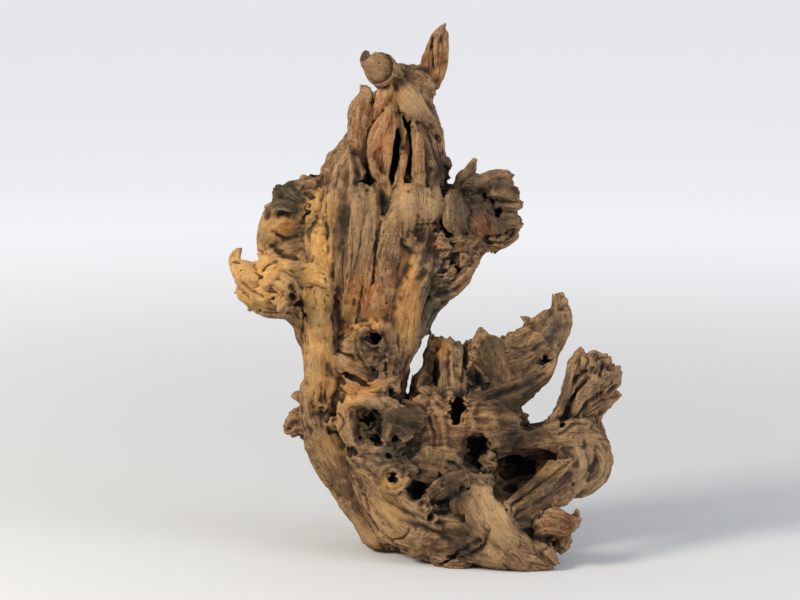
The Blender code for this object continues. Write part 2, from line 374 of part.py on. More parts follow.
        (422, 423, -35, 6), (429, 426, -33, 2)]),
    "cheek_left": (0.8, 0.14, [(346, 406, -16, 9), (347, 424, -20, 9), (352, 442, -22, 8)]),
    "lobe_a": (0.8, 0.12, [(389, 414, -32, 6), (390, 426, -35, 7), (387, 438, -34, 6)]),
    "lobe_b": (0.8, 0.12, [(396, 428, -35, 7), (408, 433, -38, 7), (402, 440, -38, 5)]),
    "swirl": (0.8, 0.14, [(328, 424, -10, 9), (336, 422, -12, 9)]),
    "nub_front": (0.9, 0.10, [(322, 406, -8, 7), (322, 407, -17, 5.5)]),
    "lobe_c": (0.8, 0.14, [(380, 466, -36, 8), (396, 468, -40, 9), (412, 468, -42, 8)]),
    # the far side
    "back_plate_a": (0.5, 0.10, [(372, 168, 60, 2), (370, 185, 64, 8), (366, 220, 68, 11),
        (368, 262, 66, 10), (362, 300, 60, 6)]),
    "back_plate_b": (0.5, 0.10, [(420, 118, 50, 2), (419, 132, 54, 7), (416, 165, 58, 10),
        (420, 205, 58, 9), (412, 240, 54, 5)]),
    "back_plate_c": (0.5, 0.10, [(352, 330, 60, 3), (350, 350, 64, 9), (354, 385, 64, 11),
        (350, 425, 60, 9), (354, 450, 54, 5)]),
    "back_knob": (0.9, 0.14, [(346, 322, 52, 14), (336, 316, 68, 11), (330, 308, 78, 7)]),
    "back_burl": (0.9, 0.16, [(416, 252, 52, 17), (428, 246, 66, 13), (434, 240, 74, 8)]),
    "back_stub_a": (0.9, 0.10, [(386, 352, 60, 15), (390, 342, 78, 11), (393, 334, 92, 9)]),
    "back_stub_b": (0.9, 0.12, [(428, 470, 58, 20), (446, 478, 80, 14), (458, 486, 94, 9)]),
    "back_stub_c": (0.9, 0.12, [(346, 416, 52, 14), (332, 420, 68, 10), (324, 428, 80, 6)]),
    "back_knee": (0.9, 0.14, [(492, 440, 42, 12), (502, 428, 54, 9), (508, 420, 62, 5)]),
}

# name: (depth over width, fluting, [(across, down, depth, radius), ...])
HOLLOWS = {
    "slot_black": (4.0, 0.10, [(397, 126, 0, 2), (396, 140, 0, 4.5), (395, 160, 0, 5), (393, 178, 0, 4),
        (392, 194, -2, 1.5)]),
    "slot_left": (3.0, 0.10, [(370, 112, 0, 1.5), (370, 128, 0, 2.4), (367, 146, -2, 2.4),
        (365, 162, -4, 3.5), (369, 176, -6, 4), (360, 186, -8, 3)]),
    "slot_right": (3.0, 0.10, [(402, 114, 2, 1.5), (406, 124, 0, 3.2), (410, 136, 0, 3),
        (411, 150, 0, 2.2), (409, 168, -2, 3), (408, 178, -4, 1.5)]),
    "slot_finger": (3.0, 0.06, [(425.5, 142, -6, 1.2), (426.5, 156, -8, 1.8), (427, 170, -8, 1.8),
        (427, 180, -8, 1)]),
    "slot_grey": (1.5, 0.04, [(381, 184, -22, 5), (385, 194, -22, 7), (385.5, 206, -23, 5.5),
        (384.5, 220, -25, 1.5)]),
    "gap_trunk": (10.0, 0.03, [(428, 330, 26, 2), (425, 340, 26, 3), (420, 350, 27, 3.6),
        (415.5, 361, 28, 4), (410, 378, 28, 4.2), (407.5, 392, 28, 4.6), (406.5, 403, 27, 3)]),
    "gap_arm": (5.0, 0.04, [(566, 350, 0, 4), (561, 368, 0, 4.5), (558, 384, 0, 5), (549, 402, 0, 8),
        (538, 413, 0, 8)]),
    "valley_low": (1.6, 0.05, [(337, 286, -16, 1.5), (336, 300, -14, 3.6), (334, 314, -12, 4.4),
        (333, 330, -10, 2)]),
    "under_plate": (0.8, 0.10, [(410, 228, -32, 1), (420, 228, -30, 1.8), (434, 227, -27, 1.6)]),
    "pit_finger": (1.0, 0.05, [(425, 186, -40, 2.4), (425, 187, -10, 1.6)]),
    "pit_red": (1.5, 0.05, [(376, 154, -30, 3.2), (377, 155, -4, 3)]),
    "pit_red_small": (0.8, 0.05, [(389, 142, -30, 2.4), (388, 143, -8, 2)]),
    "pit_head": (0.6, 0.05, [(413, 85, -20, 4), (416, 87, 6, 2)]),
    "ear_root": (2.0, 0.05, [(414, 68, 12, 1.0), (419, 73, 10, 1.5), (427, 77, 10, 1.0)]),
    "under_saw": (1.5, 0.08, [(372, 86, -8, 2), (380, 86, -8, 2.2), (389, 84, -4, 1.8)]),
    "wing_pit": (0.9, 0.14, [(452, 266, -34, 14), (453, 266, -14, 12), (456, 264, 2, 6)]),
    "wing_moss": (0.8, 0.15, [(474, 197, -30, 11), (476, 198, -8, 10), (478, 199, 0, 6)]),
    "wing_dark": (1.0, 0.10, [(491, 200, -30, 4), (491, 200, 2, 3)]),
    "wing_fold": (1.4, 0.10, [(498, 213, -30, 5), (500, 213, -6, 3)]),
    "wing_crease": (2.0, 0.05, [(503, 211, -16, 1), (510, 214, -17, 1.8), (518, 210, -14, 1)]),
    "knob_shade": (1.2, 0.10, [(306, 204, -12, 2.5), (304, 216, -18, 5.5), (299, 228, -20, 6.5),
        (291, 236, -22, 4)]),
    "knob_hole": (1.0, 0.2, [(281, 238, -34, 5), (283, 237, -14, 3)]),
    "gold_shade": (1.0, 0.12, [(272, 282, -60, 5), (277, 289, -56, 6), (286, 298, -50, 6),
        (300, 306, -30, 6), (306, 318, -12, 4)]),
    "gold_crease": (2.0, 0.05, [(267, 301, -26, 1.2), (275, 298, -28, 2.2), (284, 297, -26, 1.5)]),
    "eye_hole": (0.9, 0.1, [(374, 338, -50, 9), (374, 338, -24, 9), (375, 341, -6, 5)]),
    "eye_low": (1.0, 0.05, [(371, 363, -50, 3), (371, 363, -22, 2)]),
    "slit": (3.0, 0.05, [(338, 351, -20, 1), (345, 353, -22, 1.8), (353, 357, -22, 1.0)]),
    "shelf_shade": (2.5, 0.08, [(340, 374, -18, 1.6), (350, 377, -20, 2.2), (360, 381, -22, 2),
        (370, 388, -22, 1.6)]),
    "mid_pit": (1.1, 0.3, [(375, 413, -50, 5.5), (374, 415, -30, 6.5), (372, 418, -12, 4)]),
    "mid_pit_side": (1.0, 0.3, [(364, 421, -50, 6), (365, 422, -16, 5)]),
    "mid_pit_left": (1.0, 0.3, [(361, 437, -50, 5), (362, 437, -20, 4)]),
    "mid_pit_low": (1.0, 0.3, [(377, 441, -54, 6.5), (377, 441, -24, 5)]),
    "pit_a": (0.9, 0.14, [(396, 446, -60, 5), (396, 446, -34, 4)]),
    "pit_b": (0.9, 0.14, [(406, 455, -64, 6), (406, 456, -38, 5)]),
    "pit_c": (0.9, 0.14, [(388, 455, -60, 4.5), (388, 456, -38, 4)]),
    "pit_ring": (0.9, 0.10, [(392, 477, -70, 8), (393, 478, -44, 6)]),
    "pit_round": (1.15, 0.06, [(416, 489, -80, 10.5), (416, 490, -56, 9.5), (418, 490, -34, 5)]),
    "pit_low_left": (0.7, 0.12, [(323, 454, -50, 6), (326, 455, -22, 4)]),
    "soft_hollow": (0.8, 0.10, [(350, 452, -50, 10), (350, 452, -22, 6)]),
    "oval_hole": (1.6, 0.03, [(456, 412, -70, 8.5), (457, 411, -30, 8.5), (461, 407, 10, 7)]),
    "cave_left": (1.2, 0.08, [(475, 452, -80, 15), (476, 452, -50, 15), (480, 452, -24, 12),
        (486, 450, -6, 7)]),
    "cave_left_low": (1.0, 0.2, [(470, 462, -70, 6), (471, 462, -34, 5)]),
    "cave_gap": (1.2, 0.1, [(493, 454, -70, 5), (493, 455, -30, 5), (497, 458, -8, 4)]),
    "cave_big": (2.6, 0.05, [(499, 500, -64, 7), (504, 487, -62, 13), (512, 475, -58, 16),
        (526, 464, -52, 15), (540, 457, -46, 10), (550, 452, -40, 4)]),
    "cave_deep": (0.9, 0.10, [(506, 472, -40, 16), (514, 468, -10, 19), (526, 462, 8, 15)]),
    "cave_low": (1.0, 0.1, [(502, 492, -64, 9), (504, 489, -34, 11), (510, 482, -8, 9)]),
    "foot_cave": (1.3, 0.08, [(520, 529, -92, 4), (530, 531, -90, 7), (538, 530, -88, 5)]),
    "foot_cup": (1.0, 0.10, [(556, 516, -98, 5), (555, 517, -84, 3)]),
    "arm_groove": (1.6, 0.06, [(566, 416, -26, 1.6), (571, 403, -28, 2.6), (577, 392, -28, 2.6),
        (585, 385, -28, 1.6)]),
    "arm_pit": (1.0, 0.06, [(560, 424, -34, 3.4), (561, 424, -12, 2.4)]),
    "crown_pit": (1.2, 0.10, [(582, 376, -24, 2.5), (590, 376, -24, 3.8), (594, 368, -22, 3)]),
    "fin_groove": (1.6, 0.05, [(580, 412, -12, 1.2), (592, 402, -14, 2), (606, 398, -12, 1.8)]),
    "slab_groove": (1.6, 0.06, [(596, 438, -20, 1.2), (594, 450, -26, 2), (591, 462, -28, 2),
        (588, 472, -28, 1.2)]),
    "pillar_groove": (2.0, 0.08, [(436, 350, 2, 2), (435.5, 362, -2, 4.5), (436, 374, -4, 5.5),
        (438, 385, -6, 4)]),
    "fan_crack": (2.0, 0.03, [(490.5, 347, -14, 0.8), (493, 352, -16, 1.0), (497, 360, -20, 1.8),
        (500, 357, -20, 1.2)]),
    "fan_pit": (2.0, 0.05, [(475, 350, -10, 1.2), (480, 354, -12, 1.8)]),
    "fan_rough": (1.2, 0.16, [(472, 366, -16, 4), (477, 378, -18, 8), (484, 390, -20, 5)]),
    "arm_mouth": (1.4, 0.12, [(533, 366, -22, 2.5), (541, 363, -24, 5.5), (549, 359, -24, 6),
        (554, 356, -22, 3)]),
    "arm_mouth_deep": (1.0, 0.12, [(549, 358, -24, 4.5), (544, 361, -6, 3.5)]),
    "under_arm": (1.1, 0.05, [(490, 410, -40, 3), (505, 404, -38, 5), (519, 396, -34, 5),
        (530, 388, -28, 3)]),
    "fold_cut": (1.8, 0.08, [(428, 518, -66, 2), (440, 514, -74, 4), (455, 516, -76, 4),
        (466, 520, -76, 2)]),
    "fold_cut_low": (1.8, 0.08, [(440, 566, -70, 2), (462, 552, -84, 3.5), (480, 540, -88, 3)]),
    "back_pit_a": (1.3, 0.14, [(389, 176, 96, 8), (391, 178, 56, 6)]),
    "back_pit_b": (1.5, 0.14, [(352, 286, 96, 8), (354, 290, 56, 6)]),
    "back_pit_c": (1.1, 0.16, [(470, 462, 100, 12), (468, 462, 48, 9)]),
    "back_pit_d": (1.0, 0.16, [(512, 458, 90, 8), (510, 458, 34, 6)]),
    "back_pit_e": (1.6, 0.14, [(389, 432, 100, 8), (388, 436, 58, 6)]),
    "back_pit_f": (1.0, 0.14, [(566, 444, 70, 6), (566, 444, 12, 5)]),
    "back_slot": (2.6, 0.08, [(420, 168, 62, 2), (416, 200, 70, 4), (406, 236, 72, 4),
        (408, 280, 70, 3.5), (398, 318, 70, 2)]),
    "back_slot_low": (2.4, 0.08, [(352, 372, 66, 2), (358, 410, 70, 3.5), (352, 450, 68, 3.5),
        (360, 486, 66, 2)]),
}

# lumps left standing inside the hollows
INNER = {
    "cave_bulge": (0.8, 0.2, [(490, 446, -14, 5), (487, 452, -28, 7.5), (488, 460, -36, 7),
        (491, 468, -38, 6)]),
    "pit_lump_a": (0.9, 0.14, [(366, 430, -10, 6), (364, 432, -26, 4.5)]),
    "pit_lump_b": (0.9, 0.14, [(374, 428, -14, 5), (375, 435, -28, 4)]),
    "wing_inner_a": (0.9, 0.16, [(444, 262, 4, 7), (446, 266, -8, 6), (454, 272, -8, 5)]),
    "wing_inner_b": (0.9, 0.16, [(458, 258, 4, 6), (460, 262, -4, 5), (452, 256, -6, 4)]),
    "moss_lump": (0.9, 0.16, [(472, 200, 2, 6), (478, 198, -2, 5)]),
    "mouth_tongue": (0.7, 0.10, [(530, 366, -8, 5), (538, 364, -12, 4.5), (545, 362, -12, 3)]),
    "round_lump": (0.9, 0.14, [(411, 494, -40, 4), (410, 497, -48, 3)]),
}

# creases and swellings on the surface: near or far side, then (across, down, half width, height in squares)
CREASES = {
    "crack_base": ("near", [(364, 490, 1.8, -1), (366, 502, 2, -3), (370, 516, 2.2, -3.5),
        (379, 532, 2.2, -3), (392, 541, 2, -3), (404, 538, 2, -2.5), (410, 528, 2, -1)]),
    "crack_base_fork": ("near", [(366, 500, 2, -2), (360, 490, 2, -1.5), (357, 478, 2, -0.5)]),
    "face_rim": ("near", [(328, 215, 4, 1), (331, 240, 4, 2), (329, 280, 4, 2), (328, 312, 4, 1)]),
    "knot_socket": ("near", [(371, 342, 16, -6), (374, 350, 15, -5)]),
    "knot_brow": ("near", [(353, 340, 5, 1), (358, 329, 6, 3), (371, 322, 6, 3), (387, 326, 6, 3),
        (394, 338, 5, 1)]),
    "knot_crease": ("near", [(357, 332, 2.5, -2), (355, 345, 3, -3), (359, 358, 3, -3),
        (368, 369, 2.5, -2)]),
    "knot_crease_inner": ("near", [(362, 338, 2, -1.5), (361, 350, 2, -2), (367, 361, 2, -1)]),
    "knot_crease_right": ("near", [(384, 333, 2, -1.5), (388, 344, 2.4, -2), (385, 356, 2.4, -2),
        (377, 366, 2, -1)]),
    "knot_spot": ("near", [(370, 360, 5, 3), (372, 357, 5, 3)]),
    "knot_cheek": ("near", [(379, 345, 6, 3), (384, 351, 5, 2)]),
    "patch_crease": ("near", [(338, 351, 3, -2), (346, 354, 3, -4), (354, 357, 2.5, -1)]),
    "patch_low": ("near", [(341, 370, 3, -2), (352, 378, 3, -3), (366, 384, 3, -3), (374, 389, 3, -1)]),
    "patch_swell": ("near", [(344, 345, 9, 3), (346, 362, 9, 3)]),
    "bowl_mid": ("near", [(365, 424, 15, -6), (376, 432, 13, -5)]),
    "bowl_ring": ("near", [(392, 478, 11, -3)]),
    "bowl_round": ("near", [(416, 489, 16, -3)]),
    "ring_crest": ("near", [(380, 474, 3, 1), (386, 466, 3.5, 3), (398, 464, 3.5, 3),
        (406, 472, 3.5, 3), (406, 486, 3.5, 3), (396, 492, 3.5, 2), (384, 490, 3, 1)]),
    "swirl_ring": ("near", [(326, 422, 2.4, -3), (330, 414, 2.4, -3), (339, 414, 2.4, -3),
        (343, 423, 2.4, -3), (339, 432, 2.4, -3), (330, 433, 2.4, -2)]),
    "swirl_eye": ("near", [(334, 423, 3, -2)]),
    "face_pit": ("near", [(325, 453, 9, -3)]),
    "ridge_flute_a": ("near", [(470, 486, 4, -0.6), (480, 510, 6, -1.4), (492, 540, 7, -1.6),
        (505, 560, 6, -0.6)]),
    "ridge_flute_b": ("near", [(482, 496, 3, -0.6), (498, 520, 5, -1.4), (518, 545, 6, -1.4),
        (535, 560, 4, -0.6)]),
    "fold_shadow": ("near", [(452, 560, 5, -2), (470, 556, 8, -5), (484, 545, 7, -5),
        (488, 532, 5, -2)]),
    "plate_seam": ("near", [(380, 222, 3, -3), (375, 250, 3, -3), (372, 280, 3, -2),
        (368, 300, 2, -1)]),
    "plate_lip": ("near", [(416, 227, 2.4, -2), (428, 227, 2.6, -3), (438, 225, 2, -2)]),
    "neck_smooth": ("near", [(404, 94, 9, 1.5), (418, 112, 10, 1.5)]),
    "ear_ridge": ("near", [(442, 30, 2, 1), (436, 42, 2.4, 2), (434.5, 54, 2, 1)]),
    "ear_crack": ("near", [(432, 38, 2, -2), (431, 52, 2.4, -3), (434, 70, 2, -2)]),
    "ear_crack_b": ("near", [(441, 36, 2, -1.5), (443, 52, 2, -2), (441, 66, 2, -1)]),
    "saw_rim": ("near", [(386, 58, 2, 1), (389, 66, 2, 1.2), (386, 76, 2, 1)]),
    "saw_crack": ("near", [(371, 57, 1.4, -1), (375, 65, 1.6, -2.2), (381, 74, 1.4, -1)]),
    "saw_crack_b": ("near", [(386, 60, 1.3, -0.8), (379, 64, 1.4, -1.6), (370, 72, 1.3, -0.8)]),
    "fan_rib_a": ("near", [(500, 352, 3, 0.8), (520, 346, 4, 1.2), (540, 334, 4, 1.2),
        (552, 320, 3, 0.8)]),
    "fan_rib_b": ("near", [(502, 364, 3, 0.8), (522, 360, 3, 1.2), (538, 352, 3, 0.8)]),
    "fan_groove": ("near", [(508, 346, 3, -1), (524, 352, 4, -1.4), (540, 346, 4, -1.4),
        (556, 330, 3, -1)]),
    "arm_groove_a": ("near", [(562, 424, 4, -3), (568, 404, 4, -6), (576, 390, 4, -6),
        (588, 378, 4, -3)]),
    "arm_groove_d": ("near", [(584, 372, 3, -2), (588, 362, 3, -4), (586, 352, 2.5, -3)]),
    "arm_groove_e": ("near", [(600, 376, 3, -3), (604, 366, 3, -4), (603, 358, 2.5, -3)]),
    "arm_crest_a": ("near", [(560, 414, 4, 2), (572, 394, 4, 3), (582, 380, 4, 3)]),
    "wing_fan_a": ("near", [(486, 238, 2.5, -2), (500, 236, 3, -3), (514, 230, 2.5, -2)]),
    "wing_fan_b": ("near", [(486, 242, 2.5, -2), (498, 244, 3, -3), (508, 243, 2.5, -2)]),
    "pillar_cut": ("near", [(448, 350, 3, -2), (447, 366, 4, -3), (449, 384, 4, -2)]),
    "pillar_cut_b": ("near", [(466, 344, 3, -3), (465, 362, 4, -5), (462, 380, 3, -3)]),
    "peak_edge": ("near", [(482, 326, 2.5, 0.5), (478, 345, 4, 1.2), (473, 362, 4, 1)]),
    "peak_edge_b": ("near", [(483, 328, 2.5, 0.5), (490, 350, 4, 1.2), (498, 372, 5, 1.2)]),
    "arm_under": ("near", [(484, 400, 5, -3), (506, 392, 6, -5), (528, 384, 5, -4), (544, 374, 3, -2)]),
    "arm_groove_b": ("near", [(578, 416, 3, -2), (588, 402, 4, -4), (602, 392, 3, -3),
        (612, 384, 3, -1)]),
    "arm_groove_c": ("near", [(560, 434, 3, -2), (574, 424, 4, -3), (586, 424, 4, -2)]),
    "slab_groove_a": ("near", [(584, 440, 3, -2), (582, 456, 4, -3), (572, 474, 4, -3),
        (556, 488, 3, -1)]),
    "slab_groove_b": ("near", [(596, 446, 3, -2), (595, 462, 3, -3), (586, 478, 3, -2)]),
    "rib_groove": ("near", [(514, 504, 3, -2), (534, 490, 3, -4), (556, 474, 3, -4),
        (574, 458, 3, -2)]),
    "sole_groove": ("near", [(400, 520, 4, -1), (425, 528, 5, -3), (450, 540, 4, -2)]),
    "sole_groove_b": ("near", [(385, 500, 4, -1), (404, 512, 5, -2.5), (424, 518, 4, -1)]),
    "knob_scar": ("near", [(268, 216, 5, -3), (280, 214, 6, -4), (292, 218, 5, -3)]),
    "knob_scar_low": ("near", [(272, 232, 4, -3), (284, 238, 4, -3), (296, 236, 4, -2)]),
    "gold_hollow": ("near", [(292, 288, 7, -4), (297, 302, 8, -5)]),
    "gold_fold": ("near", [(252, 262, 4, -1), (258, 276, 5, -3), (256, 290, 4, -2)]),
}

# where the wood is worn smooth, on both sides: (across, down, half width, half height, how smooth)
CALM = [
    (396, 515, 60, 36, 1.0), (336, 470, 40, 44, 0.8), (440, 545, 26, 16, 0.6), (498, 520, 32, 48, 1.0),
    (530, 556, 36, 16, 0.9), (362, 235, 24, 58, 0.95), (420, 204, 30, 28, 0.95), (412, 105, 28, 24, 0.95),
    (376, 67, 18, 18, 1.0), (437, 56, 16, 34, 0.8), (490, 418, 44, 20, 0.6), (455, 440, 26, 30, 0.5),
    (590, 460, 24, 38, 0.8), (508, 358, 30, 26, 0.95), (315, 270, 18, 60, 0.6), (344, 190, 16, 60, 0.9),
    (382, 140, 16, 36, 0.8), (503, 236, 16, 20, 0.8), (390, 270, 26, 60, 0.75), (588, 362, 12, 12, 0.8),
    (360, 128, 14, 36, 0.9), (418, 156, 10, 32, 0.8), (372, 347, 22, 24, 0.8), (548, 334, 22, 26, 0.7),
    (455, 212, 14, 24, 0.8), (545, 480, 34, 26, 0.6), (560, 440, 44, 14, 0.7), (476, 172, 14, 22, 0.8),
    (512, 392, 34, 18, 0.6), (406, 420, 24, 16, 0.7), (343, 250, 14, 60, 0.95), (592, 458, 26, 40, 1.0),
    (562, 522, 20, 16, 0.6), (452, 372, 16, 36, 0.4), (536, 484, 34, 16, 0.8),
]


def on_sheet(across, down, depth):
    """Where a point of the drawing lies in space, in metres from the drawing's middle."""
    side = (across - SHEET_MIDDLE[0]) * SQUARE
    rise = (SHEET_MIDDLE[1] - down) * SQUARE
    back = depth * SQUARE
    beyond = back - rise * math.sin(VIEW_DOWN)
    beyond /= math.cos(VIEW_DOWN) + rise * math.sin(VIEW_DOWN) / VIEW_DISTANCE
    spread = 1 + beyond / VIEW_DISTANCE
    up = spread * rise * math.cos(VIEW_DOWN) - beyond * math.sin(VIEW_DOWN)
    return np.array((spread * side, back, up))


ORIGIN = np.array((
    (ORIGIN_ACROSS - SHEET_MIDDLE[0]) * SQUARE,
    ORIGIN_BACK * SQUARE,
    on_sheet(*FRONT_FOOT)[2],
))


def to_sheet(points):
    """The drawing's across and down for points in space, the other way round from on_sheet."""
    x, y, z = (points + ORIGIN).T
    beyond = y * math.cos(VIEW_DOWN) - z * math.sin(VIEW_DOWN)
    rise = y * math.sin(VIEW_DOWN) + z * math.cos(VIEW_DOWN)
    spread = SQUARE * (1 + beyond / VIEW_DISTANCE)
    return np.stack((SHEET_MIDDLE[0] + x / spread, SHEET_MIDDLE[1] - rise / spread), axis=1)


def limb_path(points, step=PATH_STEP):
    """A smooth curve through a limb's points, as rows of place and radius."""
    rows = np.array([(*(on_sheet(a, d, b) - ORIGIN), r * SQUARE) for a, d, b, r in points])
    rows = np.vstack((2 * rows[0] - rows[1], rows, 2 * rows[-1] - rows[-2]))
    path = []
    for a, b, c, d in zip(rows, rows[1:], rows[2:], rows[3:]):
        count = max(2, int(np.linalg.norm(c[:3] - b[:3]) / step))
        for t in np.linspace(0, 1, count, endpoint=False):
            path.append(0.5 * (2 * b + (c - a) * t + (2 * a - 5 * b + 4 * c - d) * t**2
                               + (3 * b - a - 3 * c + d) * t**3))
    path.append(rows[-2])
    path = np.array(path)
    path[:, 3] = np.maximum(path[:, 3], THINNEST)
    return path


def limb_frames(path):
    """For each row of a path: how far along it is, and its own along, side and depth directions."""
    along = np.gradient(path[:, :3], axis=0)
    along /= np.linalg.norm(along, axis=1)[:, None]
    depth = np.array((0.0, 1.0, 0.0))
    if abs(along[0] @ depth) > NEARLY_STRAIGHT_BACK:
        depth = np.array((0.0, 0.0, 1.0))
    depths = []
    for direction in along:
        depth = depth - direction * (depth @ direction)
        depth = depth / np.linalg.norm(depth)
        depths.append(depth)
    depths = np.array(depths)
    run = np.cumsum(np.r_[0, np.linalg.norm(np.diff(path[:, :3], axis=0), axis=1)])
    return run, along, np.cross(along, depths), depths


def add_limb(bm, name, limb, sides):
    """Lofts one limb from rings of unlike section, with a low dome at each end."""
    thickness, fluting, points = limb
    path = limb_path(points)
    run, along, across, depth = limb_frames(path)
    draw = random.Random(name)
    angle = np.linspace(0, 2 * math.pi, sides, endpoint=False)
    waves = []
    for count, share in FLUTES:
        waves.append((count, share, draw.uniform(0, 2 * math.pi), draw.uniform(-TWIST, TWIST)))
    stations = [(0, -rise, width) for rise, width in reversed(DOME)]
    stations += [(i, 0.0, 1.0) for i in range(len(path))]
    stations += [(len(path) - 1, rise, width) for rise, width in DOME]
    rings = []
    for i, rise, width in stations:
        flute = np.zeros(sides)
        for count, share, start, turn in waves:
            flute += share * np.cos(count * angle + start + turn * run[i])
        reach = path[i, 3] * width * (1 + fluting * flute)
        ring = path[i, :3] + path[i, 3] * rise * along[i] + np.outer(reach * np.cos(angle), across[i])
        ring += np.outer(reach * thickness * np.sin(angle), depth[i])
        rings.append([bm.verts.new(point) for point in ring.tolist()])
    for low, high in zip(rings, rings[1:]):
        for i in range(sides):
            j = (i + 1) % sides
            bm.faces.new((low[i], low[j], high[j], high[i]))
    bm.faces.new(reversed(rings[0]))
    bm.faces.new(rings[-1])


def limbs_object(name, limbs, sides):
    """One object that holds every limb of a table, each a closed tube."""
    bm = bmesh.new()
    for limb_name, limb in limbs.items():
        add_limb(bm, limb_name, limb, sides)
    bmesh.ops.recalc_face_normals(bm, faces=bm.faces)
    mesh = bpy.data.meshes.new(name)
    bm.to_mesh(mesh)
    bm.free()
    piece = bpy.data.objects.new(name, mesh)
    bpy.context.scene.collection.objects.link(piece)
    return piece


def apply_modifiers(piece):
    """Turns what the modifiers make into the object's own mesh."""
    bpy.context.view_layer.update()
    depsgraph = bpy.context.evaluated_depsgraph_get()
    made = bpy.data.meshes.new_from_object(piece.evaluated_get(depsgraph))
    plain = piece.data
    piece.modifiers.clear()
    piece.data = made
    bpy.data.meshes.remove(plain)


def remesh(piece, voxel, soften=0):
    """Grows the tubes of an object together into one skin on a fine grid."""
    grid = piece.modifiers.new("grown together", "REMESH")
    grid.mode = "VOXEL"
    grid.voxel_size = voxel
    if soften:
        smooth = piece.modifiers.new("softened", "SMOOTH")
        smooth.iterations = soften
    apply_modifiers(piece)


def fill_clefts(piece, reach, voxel):
    """Closes the clefts narrower than twice the reach: the skin is swollen, then taken back."""
    for way in (reach, -reach):
        points = vertex_rows(piece.data, "co") + way * vertex_rows(piece.data, "normal")
        piece.data.vertices.foreach_set("co", points.ravel())
        piece.data.update()
        remesh(piece, voxel, soften=1)


def take_in(piece, other):
    """Adds the other object's mesh to the piece and removes the other."""
    bm = bmesh.new()
    bm.from_mesh(piece.data)
    bm.from_mesh(other.data)
    bm.to_mesh(piece.data)
    bm.free()
    bpy.data.objects.remove(other)


def keep_largest(piece):
    """Drops loose scraps, and the skins of sealed gaps, which fills them."""
    bm = bmesh.new()
    bm.from_mesh(piece.data)
    bm.verts.ensure_lookup_table()
    unseen = set(bm.verts)
    groups = []
    while unseen:
        group = [unseen.pop()]
        for vert in group:
            near = {edge.other_vert(vert) for edge in vert.link_edges} & unseen
            unseen -= near
            group.extend(near)
        groups.append(group)
    groups.sort(key=len)
    scraps = [vert for group in groups[:-1] for vert in group]
    bmesh.ops.delete(bm, geom=scraps, context="VERTS")
    bm.to_mesh(piece.data)
    bm.free()


def cut_out(piece, cutter):
    """Cuts the hollows."""
    cut = piece.modifiers.new("hollows", "BOOLEAN")
    cut.operation = "DIFFERENCE"
    cut.solver = "MANIFOLD"
    cut.object = cutter
    apply_modifiers(piece)
    bpy.data.objects.remove(cutter)


class Grain:
    """The limbs' centre lines, which the grain of the wood follows."""

    def __init__(self, limbs):
        draw = random.Random(GRAIN_SEED)
        rows = []
        for _, _, points in limbs.values():
            path = limb_path(points, step=GRAIN_STEP)
            run, along, across, depth = limb_frames(path)
            shift = np.tile([draw.uniform(-5, 5) for _ in range(3)], (len(path), 1))
            rows.append(np.column_stack((path, run, along, across, depth, shift)))
        table = np.vstack(rows)
        self.centre, self.radius, self.run = table[:, :3], table[:, 3], table[:, 4]
        self.along, self.across, self.depth = table[:, 5:8], table[:, 8:11], table[:, 11:14]
        self.shift = table[:, 14:]
        self.tree = kdtree.KDTree(len(table))
        for i, place in enumerate(self.centre):
            self.tree.insert(place, i)
        self.tree.balance()

    def nearest(self, points):
        """The row whose surface lies nearest each point."""
        radius = self.radius
        found = np.empty(len(points), int)
        for i, point in enumerate(points):
            near = self.tree.find_n(point, GRAIN_NEAR)
            found[i] = min((gap - radius[row], row) for _, row, gap in near)[1]
        return found

    def place(self, points, row):
        """Each point's place across, through and along its limb."""
        offset = points - self.centre[row]
        return np.stack((
            (offset * self.across[row]).sum(axis=1),
            (offset * self.depth[row]).sum(axis=1),
            (offset * self.along[row]).sum(axis=1) + self.run[row],
        ), axis=1)


def wave(points, width, stretch=1.0, shift=0.0):
    """Smooth noise, about -1 to 1, with swellings of the given width in metres."""
    rows = points / (width, width, width * stretch) + shift
    return np.array([noise.noise(row) for row in rows.tolist()])


def creases(points, normals):
    """How far the drawn creases and swellings move each point out of the surface, in metres."""
    sheet = to_sheet(points)
    total = np.zeros(len(points))
    for side, rows in CREASES.values():
        rows = np.array(rows, float)
        facing = normals[:, 1] * (1 if side == "far" else -1)
        reach = rows[:, 2].max()
        inside = (sheet > rows[:, :2].min(axis=0) - reach).all(axis=1)
        inside &= (sheet < rows[:, :2].max(axis=0) + reach).all(axis=1) & (facing > 0)
        where = np.flatnonzero(inside)
        best = np.zeros(len(where))
        for start, end in zip(rows, rows[1:]):
            line = end[:2] - start[:2]
            offset = sheet[where] - start[:2]
            t = np.clip(offset @ line / (line @ line), 0, 1)
            gap = np.linalg.norm(offset - t[:, None] * line, axis=1)
            width, height = (start[2:, None] + (end - start)[2:, None] * t)
            fall = np.clip(1 - gap / width, 0, 1)
            height = height * fall * fall * (3 - 2 * fall)
            best = np.where(abs(height) > abs(best), height, best)
        total[where] += best * np.clip(facing[where] * FACING_GAIN, 0, 1)
    return total * SQUARE


def vertex_rows(mesh, name):
    """A mesh's vertex coordinates or normals as an array."""
    values = np.empty(len(mesh.vertices) * 3)
    mesh.vertices.foreach_get(name, values)
    return values.reshape(-1, 3)


def roughen(piece, reach, width):
    """Bends a surface this way and that, so that no limb or hollow stays a plain tube."""
    points = vertex_rows(piece.data, "co")
    shift = [wave(points, width, shift=start) for start in (71.3, 83.9, 97.1)]
    points += reach * np.stack(shift, axis=1)
    piece.data.vertices.foreach_set("co", points.ravel())
    piece.data.update()


